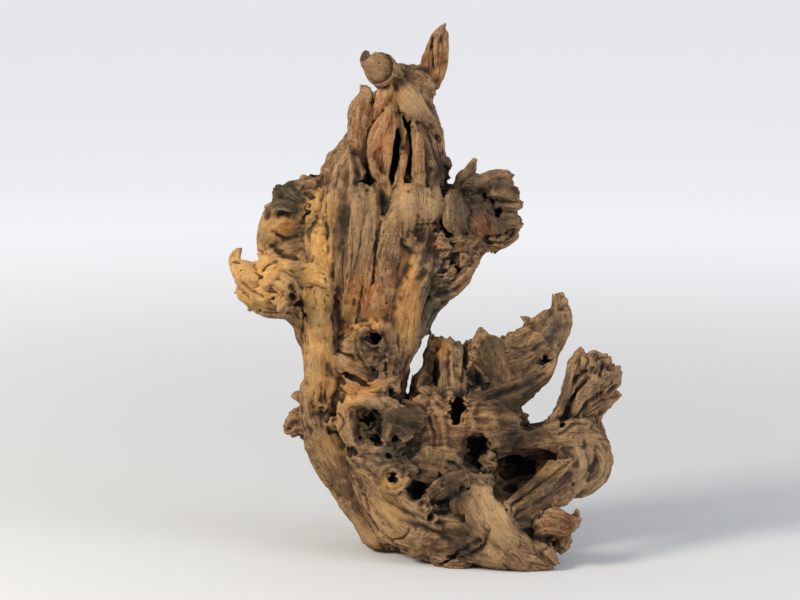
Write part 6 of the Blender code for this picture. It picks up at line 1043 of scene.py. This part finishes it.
def raise_grain(piece):
    """Raises the flutes, fibres, scoops, lumps and creases out of the surface, and frays the ends."""
    mesh = piece.data
    points = vertex_rows(mesh, "co")
    normals = vertex_rows(mesh, "normal")
    grain = Grain({**LIMBS, **FLAKES})
    row = grain.nearest(points)
    stray = [WANDER * wave(points, WANDER_WIDTH, shift=start) for start in (11.3, 27.7, 41.9)]
    stray = np.stack(stray, axis=1)
    place = grain.place(points, row) + stray
    shift = grain.shift[row]
    slim = np.clip(grain.radius[row] / SLIM_LIMB, SLIMMEST, 1)
    rough = 1 - calmness(points)
    share = SMOOTH_SHARE + ROUGH_SHARE * rough
    flute = CREST - 2 * abs(wave(place, FLUTE_WIDTH, GRAIN_STRETCH, shift))
    fibre = CREST - 2 * abs(wave(place, FIBRE_WIDTH, GRAIN_STRETCH, shift + 17.1))
    scoop = SCOOP_CREST - 2 * abs(wave(place, SCOOP_WIDTH, SCOOP_STRETCH, shift + 29.3))
    lump = wave(points + stray, LUMP_WIDTH, shift=5.5)
    bump = wave(points + stray, BUMP_WIDTH, shift=63.1)
    rise = share * (FLUTE_HEIGHT * flute + FIBRE_HEIGHT * fibre + SCOOP_HEIGHT * scoop)
    rise += LUMP_HEIGHT * lump + rough * BUMP_HEIGHT * bump
    rise = slim * rise + creases(points, normals)
    broken = abs((normals * grain.along[row]).sum(axis=1))
    splinter = SPLINTER_REACH * broken * wave(place, SPLINTER_WIDTH, SPLINTER_STRETCH, shift + 43.7)
    crumble = [wave(points, CRUMBLE_WIDTH, shift=start) for start in (71.3, 83.9, 97.1)]
    crumble = share[:, None] * CRUMBLE * np.stack(crumble, axis=1)
    points += normals * rise[:, None] + grain.along[row] * splinter[:, None] + crumble
    mesh.vertices.foreach_set("co", points.ravel())
    mesh.update()
    saw_off(piece)


def saw_off(piece):
    """Presses the end of the sawn branch back to the flat face that the saw left."""
    points = vertex_rows(piece.data, "co")
    gap = np.linalg.norm((to_sheet(points) - SAW_MIDDLE) * SQUARE, axis=1)
    face = SAW_DEPTH * SQUARE - ORIGIN[1]
    proud = (gap < SAW_RADIUS) & (points[:, 1] < face)
    points[proud, 1] = face
    piece.data.vertices.foreach_set("co", points.ravel())
    piece.data.update()


def srgb(hex_code):
    """The linear colour of an sRGB hex value."""
    channels = [int(hex_code[i:i + 2], 16) / 255 for i in (1, 3, 5)]
    return [c / 12.92 if c <= 0.04045 else ((c + 0.055) / 1.055) ** 2.4 for c in channels] + [1.0]


def add(tree, kind, inputs=(), **settings):
    """Adds one node. An input is a value, a socket, or a node, which stands for its first output."""
    node = tree.nodes.new(kind)
    for name, value in settings.items():
        setattr(node, name, value)
    for key, value in inputs.items() if isinstance(inputs, dict) else enumerate(inputs):
        if isinstance(value, bpy.types.Node):
            value = value.outputs[0]
        if isinstance(value, bpy.types.NodeSocket):
            tree.links.new(value, node.inputs[key])
        else:
            node.inputs[key].default_value = value
    return node


def add_input(tree, name, kind, value=None):
    """Adds a named input to a node tree."""
    socket = tree.interface.new_socket(name=name, in_out="INPUT", socket_type=kind)
    if value is not None:
        socket.default_value = value
    return socket


def grow_root():
    """The root on the fine grid, with the coarse relief that the solid has too."""
    root = limbs_object("root", LIMBS, LIMB_SIDES)
    roughen(root, LIMB_ROUGHNESS, LIMB_ROUGH_WIDTH)
    remesh(root, VOXEL, soften=3)
    fill_clefts(root, CLEFT / 2, VOXEL)
    flakes = limbs_object("flakes", FLAKES, LIMB_SIDES)
    roughen(flakes, LIMB_ROUGHNESS, LIMB_ROUGH_WIDTH)
    take_in(root, flakes)
    remesh(root, VOXEL, soften=1)
    hollows = limbs_object("hollows", HOLLOWS, HOLLOW_SIDES)
    roughen(hollows, HOLLOW_ROUGHNESS, HOLLOW_ROUGH_WIDTH)
    remesh(hollows, VOXEL * 0.8)
    cut_out(root, hollows)
    take_in(root, limbs_object("inner lumps", INNER, HOLLOW_SIDES))
    remesh(root, VOXEL, soften=2)
    keep_largest(root)
    raise_grain(root)
    return root


def stand_flat(piece):
    """Brings what would lie under the ground up to it, as a flat sole."""
    points = vertex_rows(piece.data, "co")
    points[:, 2] = np.maximum(points[:, 2], 0)
    piece.data.vertices.foreach_set("co", points.ravel())


def store(mesh, name, values, kind="FLOAT", domain="POINT"):
    """Stores one value or vector for each point or corner."""
    layer = mesh.attributes.get(name) or mesh.attributes.new(name, kind, domain)
    field = {"FLOAT": "value", "FLOAT_VECTOR": "vector"}[kind]
    layer.data.foreach_set(field, np.ascontiguousarray(values, dtype=np.float32).ravel())


def weathering_tree(material):
    """A node tree that raises strands and cuts cracks, worm holes and chips along the stored grain."""
    tree = bpy.data.node_groups.new("weathering", "GeometryNodeTree")
    add_input(tree, "Geometry", "NodeSocketGeometry")
    for name, value in WEATHERING.items():
        add_input(tree, name, "NodeSocketFloat", value)
    tree.interface.new_socket(name="Geometry", in_out="OUTPUT", socket_type="NodeSocketGeometry")
    given = add(tree, "NodeGroupInput").outputs
    seed = given["Seed"]
    grain = add(tree, "GeometryNodeInputNamedAttribute", ("grain",), data_type="FLOAT_VECTOR")
    slim = add(tree, "GeometryNodeInputNamedAttribute", ("slim",), data_type="FLOAT")
    rotten = add(tree, "GeometryNodeInputNamedAttribute", ("ochre",), data_type="FLOAT")
    sound = add(tree, MATH, (rotten, ROT_SMOOTHS, 1.0), operation="MULTIPLY_ADD")
    crumbled = add(tree, MATH, (rotten, ROT_CRUMBLES, 1.0), operation="MULTIPLY_ADD")

    def along_grain(spacing, stretch):
        """The grain's coordinates, with one pattern cell as wide as the spacing."""
        scale = add(tree, MATH, (1.0, spacing), operation="DIVIDE")
        flat = add(tree, VECTOR_MATH, {0: grain, "Scale": scale}, operation="SCALE")
        return add(tree, VECTOR_MATH, (flat, (1, 1, 1 / stretch)), operation="MULTIPLY")

    strand = add(tree, NOISE, {
        "Vector": along_grain(given["Strand spacing"], STRAND_STRETCH),
        "W": seed, "Scale": 1.0, "Detail": 2.0, "Roughness": 0.6,
    }, noise_dimensions="4D")
    fold = add(tree, MATH, (strand, 0.5), operation="SUBTRACT")
    fold = add(tree, MATH, (fold,), operation="ABSOLUTE")
    fold = add(tree, MATH, (fold, -NOISE_GAIN, STRAND_LIFT), operation="MULTIPLY_ADD")
    strands = add(tree, MATH, (fold, given["Strand height"]), operation="MULTIPLY")
    strands = add(tree, MATH, (strands, sound), operation="MULTIPLY")

    gap = add(tree, VORONOI, {
        "Vector": along_grain(given["Check spacing"], CHECK_STRETCH),
        "W": seed, "Scale": 1.0, "Randomness": 1.0,
    }, voronoi_dimensions="4D", feature="DISTANCE_TO_EDGE")
    gap = gap.outputs["Distance"]
    narrow = add(tree, RANGE, (gap, 0.0, CHECK_OPENING, 1.0, 0.0), interpolation_type="SMOOTHSTEP")
    where = add(tree, "GeometryNodeInputPosition")
    patchy = add(tree, NOISE, {
        "Vector": where, "W": seed, "Scale": CHECK_PATCHES, "Detail": 1.0,
    }, noise_dimensions="4D")
    patchy = add(tree, RANGE, (patchy, CHECK_FROM, CHECK_TO, 0.0, 1.0), interpolation_type="SMOOTHSTEP")
    checks = add(tree, MATH, (narrow, patchy), operation="MULTIPLY")
    checks = add(tree, MATH, (checks, given["Check depth"]), operation="MULTIPLY")
    checks = add(tree, MATH, (checks, sound), operation="MULTIPLY")

    cell = add(tree, MATH, (1.0, given["Worm spacing"]), operation="DIVIDE")
    hole = add(tree, VORONOI, {
        "Vector": where, "W": seed, "Scale": cell,
    }, voronoi_dimensions="4D", feature="F1")
    hole = hole.outputs["Distance"]
    holes = add(tree, RANGE, (hole, WORM_BOTTOM, WORM_RIM, 1.0, 0.0), interpolation_type="SMOOTHSTEP")
    holes = add(tree, MATH, (holes, given["Worm depth"]), operation="MULTIPLY")

    cell = add(tree, MATH, (1.0, given["Chip width"]), operation="DIVIDE")
    chips = add(tree, NOISE, {
        "Vector": where, "W": seed, "Scale": cell, "Detail": 3.0, "Roughness": 0.65,
    }, noise_dimensions="4D")
    chips = add(tree, MATH, (chips, 0.5), operation="SUBTRACT")
    for factor in (given["Chip height"], NOISE_GAIN, crumbled):
        chips = add(tree, MATH, (chips, factor), operation="MULTIPLY")

    rise = add(tree, MATH, (strands, chips), operation="ADD")
    rise = add(tree, MATH, (rise, slim), operation="MULTIPLY")
    for cut in (checks, holes):
        rise = add(tree, MATH, (rise, cut), operation="SUBTRACT")
    normal = add(tree, "GeometryNodeInputNormal")
    offset = add(tree, VECTOR_MATH, {0: normal, "Scale": rise}, operation="SCALE")
    moved = add(tree, "GeometryNodeSetPosition", {"Geometry": given["Geometry"], "Offset": offset})
    real = add(tree, "GeometryNodeRealizeInstances", (moved,))
    painted = add(tree, "GeometryNodeSetMaterial", {"Geometry": real, "Material": material})
    add(tree, "NodeGroupOutput", {"Geometry": painted})
    return tree


def weather(piece, material):
    """Runs the weathering tree over the piece and keeps the result as a plain mesh."""
    worn = piece.modifiers.new("weathering", "NODES")
    worn.node_group = weathering_tree(material)
    for socket in worn.node_group.interface.items_tree:
        if socket.in_out == "INPUT" and socket.name in WEATHERING:
            worn[socket.identifier] = float(WEATHERING[socket.name])
    apply_modifiers(piece)


def thin_faces(piece, triangles):
    """Collapses the flatter faces until about this many triangles are left."""
    mesh = piece.data
    mesh.calc_loop_triangles()
    thin = piece.modifiers.new("fewer faces", "DECIMATE")
    thin.ratio = triangles / len(mesh.loop_triangles)
    thin.use_collapse_triangulate = True
    apply_modifiers(piece)


def neighbour_mean(values, edges, count):
    """The mean of each point's neighbours."""
    total = np.zeros_like(values)
    for a, b in ((0, 1), (1, 0)):
        for k in range(values.shape[1]):
            total[:, k] += np.bincount(edges[:, a], values[edges[:, b], k], len(values))
    return total / count[:, None]


def store_crests(mesh):
    """How far each point stands out from the smoothed surface (1) or lies in it (-1), at two scales."""
    edges = np.empty(len(mesh.edges) * 2, int)
    mesh.edges.foreach_get("vertices", edges)
    edges = edges.reshape(-1, 2)
    points = vertex_rows(mesh, "co")
    normals = vertex_rows(mesh, "normal")
    count = np.bincount(edges.ravel(), minlength=len(points))
    smooth = points
    for name, rounds, reach in CRESTS:
        for _ in range(rounds):
            smooth = KEPT * smooth + TAKEN * neighbour_mean(smooth, edges, count)
        rise = ((points - smooth) * normals).sum(axis=1) / reach
        store(mesh, name, np.clip(rise, -1, 1))


def store_shelter(mesh):
    """How much of each point's sky is closed by wood nearby: 0 in the open, 1 deep in a hollow."""
    tree = bvhtree.BVHTree.FromPolygons(
        [v.co for v in mesh.vertices], [p.vertices for p in mesh.polygons], all_triangles=True)
    golden = math.pi * (3 - math.sqrt(5))
    rays = []
    for i in range(SHELTER_RAYS):
        rise = 1 - (i + 0.5) / SHELTER_RAYS * SHELTER_SPREAD
        flat = math.sqrt(1 - rise * rise)
        rays.append((flat * math.cos(i * golden), flat * math.sin(i * golden), rise))
    shelter = np.zeros(len(mesh.vertices))
    for i, vert in enumerate(mesh.vertices):
        normal = vert.normal
        side = normal.orthogonal().normalized()
        other = normal.cross(side)
        start = vert.co + normal * SHELTER_START
        closed = 0.0
        for a, b, c in rays:
            hit = tree.ray_cast(start, side * a + other * b + normal * c, SHELTER_REACH)[3]
            if hit is not None:
                closed += 1 - hit / SHELTER_REACH
        shelter[i] = closed / SHELTER_RAYS
    store(mesh, "shelter", shelter)


def store_zones(mesh):
    """How strongly each named shade of wood shows at each point; the dusky one is partly painted shade."""
    points = vertex_rows(mesh, "co")
    sheet = to_sheet(points)
    stray = sum(share * wave(points, width, shift=start) for width, start, share in ZONE_STRAY)
    for name, spots in ZONES.items():
        weight = np.zeros(len(points))
        for across, down, wide, high, strength in spots:
            gap = ((sheet[:, 0] - across) / wide) ** 2 + ((sheet[:, 1] - down) / high) ** 2
            weight = np.maximum(weight, strength * np.exp(-gap * gap))
        store(mesh, name, np.clip(weight * (1 + ZONE_FRAY * stray), 0, 1))


def store_grain(mesh, grain, domain):
    """The place of each corner or point across, through and along its limb."""
    points = vertex_rows(mesh, "co")
    if domain == "POINT":
        row = grain.nearest(points)
    else:
        centres = np.empty(len(mesh.polygons) * 3)
        mesh.polygons.foreach_get("center", centres)
        face_row = grain.nearest(centres.reshape(-1, 3))
        sizes = np.empty(len(mesh.polygons), int)
        mesh.polygons.foreach_get("loop_total", sizes)
        row = np.repeat(face_row, sizes)
        corners = np.empty(len(mesh.loops), int)
        mesh.loops.foreach_get("vertex_index", corners)
        points = points[corners]
    place = grain.place(points, row) + grain.shift[row] * GRAIN_OFFSET
    store(mesh, "grain", place, "FLOAT_VECTOR", domain)
    if domain == "POINT":
        slim = np.clip(grain.radius[row] / SLIM_LIMB, SLIM_AT_LEAST, 1)
        store(mesh, "slim", slim * (1 - CALM_SLIMS * calmness(points)))


def dress_root():
    """The whole visible root."""
    root = grow_root()
    grain = Grain({**LIMBS, **FLAKES})
    store_grain(root.data, grain, "POINT")
    store_zones(root.data)
    weather(root, sun_dried_wood())
    stand_flat(root)
    thin_faces(root, TRIANGLES)
    for name in ("grain", "slim", *ZONES):
        root.data.attributes.remove(root.data.attributes[name])
    store_grain(root.data, grain, "CORNER")
    store_crests(root.data)
    store_shelter(root.data)
    store_zones(root.data)
    root.data.shade_smooth()
    return root


def sun_dried_wood():
    """Sun-dried, worm-eaten root wood, bare: matt, with pale ridges that are partly wear and partly painted
    highlight, and painted shade in its low places, cracks, pits, sheltered hollows and dusky patches.
    """
    material = bpy.data.materials.new("sun_dried_root_wood")
    material.use_nodes = True
    tree = material.node_tree
    shader = tree.nodes["Principled BSDF"]
    grain = add(tree, "ShaderNodeAttribute", attribute_name="grain").outputs["Vector"]
    place = add(tree, "ShaderNodeTexCoord").outputs["Object"]
    mask = {name: add(tree, "ShaderNodeAttribute", attribute_name=name).outputs["Fac"]
            for name in (*ZONES, "crest_fine", "crest_broad", "shelter")}
    soft = {"interpolation_type": "SMOOTHSTEP"}

    pattern = {}
    for name, (width, stretch, detail, roughness) in STREAKS.items():
        scaled = add(tree, VECTOR_MATH, (grain, (1 / width, 1 / width, 1 / (width * stretch))),
                     operation="MULTIPLY")
        pattern[name] = add(tree, NOISE, {
            "Vector": scaled, "Scale": 1.0, "Detail": detail, "Roughness": roughness})
    for name, (width, detail, roughness) in SPECKLES.items():
        pattern[name] = add(tree, NOISE, {
            "Vector": place, "Scale": 1 / width, "Detail": detail, "Roughness": roughness})
    broad, fine, blotch, grit = [pattern[name] for name in ("broad", "fine", "blotch", "grit")]

    # long streaks in sound wood, crumbs in rotten wood
    mixed = []
    for shares in (SOUND_MIX, ROTTEN_MIX):
        total = 0.0
        for name, share in shares:
            total = add(tree, MATH, (pattern[name], share, total), operation="MULTIPLY_ADD")
        mixed.append(total)
    rotten = add(tree, MATH, (mask["ochre"], ROTTEN_SHARE), operation="MULTIPLY")
    crumbly = add(tree, RANGE, (blotch, *MASKS["crumbly"]), **soft)
    crumbly = add(tree, MATH, (rotten, crumbly), operation="MAXIMUM")
    streak = add(tree, "ShaderNodeMix", {0: crumbly, 2: mixed[0], 3: mixed[1]}, data_type="FLOAT")
    tone = add(tree, RANGE, (streak, *MASKS["tone"]), **soft)

    # each shade runs from its dark streaks to its pale ones
    shades = {}
    for name in ("brown", *ZONES):
        ramp = add(tree, "ShaderNodeValToRGB", (tone,))
        stops = ramp.color_ramp.elements
        stops.new(0.5)
        for stop, hex_code in zip(stops, SHADES[name]):
            stop.color = srgb(hex_code)
        shades[name] = ramp

    # pale ridges, partly wear and partly painted highlight, held back in the dusky zone, which is partly
    # painted shade
    stained = add(tree, RANGE, (blotch, *MASKS["stained"]), **soft)
    ridge = add(tree, RANGE, (mask["crest_broad"], *MASKS["ridge"]), **soft)
    broken = add(tree, RANGE, (grit, *MASKS["ridge_broken"]), **soft)
    ridge = add(tree, MATH, (ridge, broken), operation="MULTIPLY", use_clamp=True)
    bright = add(tree, RANGE, (mask["dusky_and_shade"], *MASKS["ridge_dusky"]), **soft)
    ridge = add(tree, MATH, (ridge, bright), operation="MULTIPLY")
    edge = add(tree, RANGE, (mask["crest_fine"], *MASKS["edge"]), **soft)
    strand = add(tree, RANGE, (fine, *MASKS["edge_strand"]), **soft)
    bright = add(tree, RANGE, (mask["dusky_and_shade"], *MASKS["edge_dusky"]), **soft)
    for factor in (strand, bright):
        edge = add(tree, MATH, (edge, factor), operation="MULTIPLY")

    # drying cracks along the grain, fewer in rotten wood, and worm pits, with painted shade inside them
    split = add(tree, VECTOR_MATH, (grain, (1 / SPLIT_WIDTH, 1 / SPLIT_WIDTH, 1 / SPLIT_LENGTH)),
                operation="MULTIPLY")
    split = add(tree, VORONOI, {"Vector": split, "Scale": 1.0}, feature="DISTANCE_TO_EDGE")
    split = add(tree, RANGE, (split.outputs["Distance"], *MASKS["split"]), **soft)
    for value, key in ((blotch, "split_where"), (mask["ochre"], "split_rotten")):
        share = add(tree, RANGE, (value, *MASKS[key]), **soft)
        split = add(tree, MATH, (split, share), operation="MULTIPLY")
    worm = add(tree, VORONOI, {"Vector": place, "Scale": 1 / WORM_SHADE_SPACING}, feature="F1")
    worm = add(tree, RANGE, (worm.outputs["Distance"], *MASKS["worm"]), **soft)
    share = add(tree, RANGE, (broad, *MASKS["worm_where"]), **soft)
    worm = add(tree, MATH, (worm, share), operation="MULTIPLY")

    # painted shade: darker in low places at two scales, and near-black where the wood is sheltered
    low = add(tree, RANGE, (mask["crest_fine"], *MASKS["low_fine"]), **soft)
    low_broad = add(tree, RANGE, (mask["crest_broad"], *MASKS["low_broad"]), **soft)
    deep = add(tree, RANGE, (mask["shelter"], *MASKS["deep"]), **soft)
    dark_split = add(tree, MATH, (split, SPLIT_DARK), operation="MULTIPLY")
    dark_worm = add(tree, MATH, (worm, WORM_DARK), operation="MULTIPLY")
    # over the zones go a real stain, pale crests that are partly painted highlight, and painted shade in
    # low places, cracks, pits and sheltered hollows
    layers = [(mask[name], shades[name]) for name in ZONES]
    layers += [(share, srgb(SHADES[name])) for share, name in (
        (stained, "stain"), (ridge, "worn"), (edge, "worn"), (low_broad, "low_shade"), (low, "low_shade"),
        (dark_split, "hole"), (dark_worm, "hole"), (deep, "hole"))]
    colour = shades["brown"]
    for share, over in layers:
        colour = add(tree, "ShaderNodeMix", {0: share, 6: colour, 7: over}, data_type="RGBA").outputs[2]

    pattern.update(split=split, worm=worm)
    height = add(tree, MATH, (grit, GRIT_RELIEF), operation="MULTIPLY")
    for name, share in RELIEF:
        height = add(tree, MATH, (pattern[name], share, height), operation="MULTIPLY_ADD")
    bump = add(tree, "ShaderNodeBump", {"Height": height, "Strength": 1.0, "Distance": BUMP_SCALE})
    rough = add(tree, RANGE, (streak, *MASKS["rough"]), **soft)
    tree.links.new(colour, shader.inputs["Base Color"])
    tree.links.new(bump.outputs[0], shader.inputs["Normal"])
    tree.links.new(rough.outputs[0], shader.inputs["Roughness"])
    shader.inputs["Specular IOR Level"].default_value = WOOD_SHEEN
    return material


def pale_floor():
    """Matt studio paper: pale grey, with painted light that makes it paler and glowing where it sweeps
    away.
    """
    material = bpy.data.materials.new("studio_paper")
    material.use_nodes = True
    tree = material.node_tree
    place = add(tree, "ShaderNodeTexCoord").outputs["Object"]
    far = add(tree, VECTOR_MATH, (place,), operation="LENGTH").outputs["Value"]
    share = add(tree, RANGE, (far, *SWEEP, 0.0, 1.0), interpolation_type="SMOOTHSTEP")
    ramp = add(tree, "ShaderNodeValToRGB", (share,))
    for stop, hex_code in zip(ramp.color_ramp.elements, PAPER):
        stop.color = srgb(hex_code)
    shader = tree.nodes["Principled BSDF"]
    tree.links.new(ramp.outputs[0], shader.inputs["Base Color"])
    # painted light: the far paper glows
    glow = add(tree, MATH, (share, FAR_GLOW), operation="MULTIPLY")
    tree.links.new(glow.outputs[0], shader.inputs["Emission Strength"])
    shader.inputs["Emission Color"].default_value = srgb(GLOW_COLOUR)
    shader.inputs["Roughness"].default_value = 0.9
    shader.inputs["Specular IOR Level"].default_value = 0.1
    return material


def make_studio():
    """The floor, the camera at the photograph's angle, and the soft light."""
    bpy.ops.mesh.primitive_circle_add(vertices=96, radius=FLOOR_RADIUS, fill_type="NGON")
    floor = bpy.context.object
    floor.name = "floor"
    floor.location.z = -FLOOR_DROP
    floor.data.materials.append(pale_floor())

    middle = Vector(-ORIGIN)
    back = Vector((0, -math.cos(VIEW_DOWN), math.sin(VIEW_DOWN)))
    camera = bpy.data.objects.new("camera", bpy.data.cameras.new("camera"))
    bpy.context.scene.collection.objects.link(camera)
    camera.location = middle + back * VIEW_DISTANCE
    camera.rotation_euler = (-back).to_track_quat("-Z", "Y").to_euler()
    camera.data.lens = CAMERA_LENS
    camera.data.sensor_width = SENSOR_WIDTH
    camera.data.clip_end = CAMERA_REACH
    bpy.context.scene.camera = camera

    for name, place, size, power, hex_code in LIGHTS:
        lamp = bpy.data.lights.new(name, "AREA")
        lamp.shape = "DISK"
        lamp.size = size
        lamp.energy = power
        lamp.color = srgb(hex_code)[:3]
        light = bpy.data.objects.new(name, lamp)
        bpy.context.scene.collection.objects.link(light)
        light.location = place
        light.rotation_euler = (Vector(LIGHT_AIM) - light.location).to_track_quat("-Z", "Y").to_euler()

    world = bpy.data.worlds.new("studio")
    bpy.context.scene.world = world
    world.use_nodes = True
    sky = world.node_tree.nodes["Background"]
    sky.inputs["Color"].default_value = srgb(SKY_COLOUR)
    sky.inputs["Strength"].default_value = SKY_STRENGTH
    bpy.context.scene.view_settings.view_transform = "Standard"


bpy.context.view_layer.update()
root = dress_root()
root.name = "root"
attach(root, "root")
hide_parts("dry_root")
make_studio()
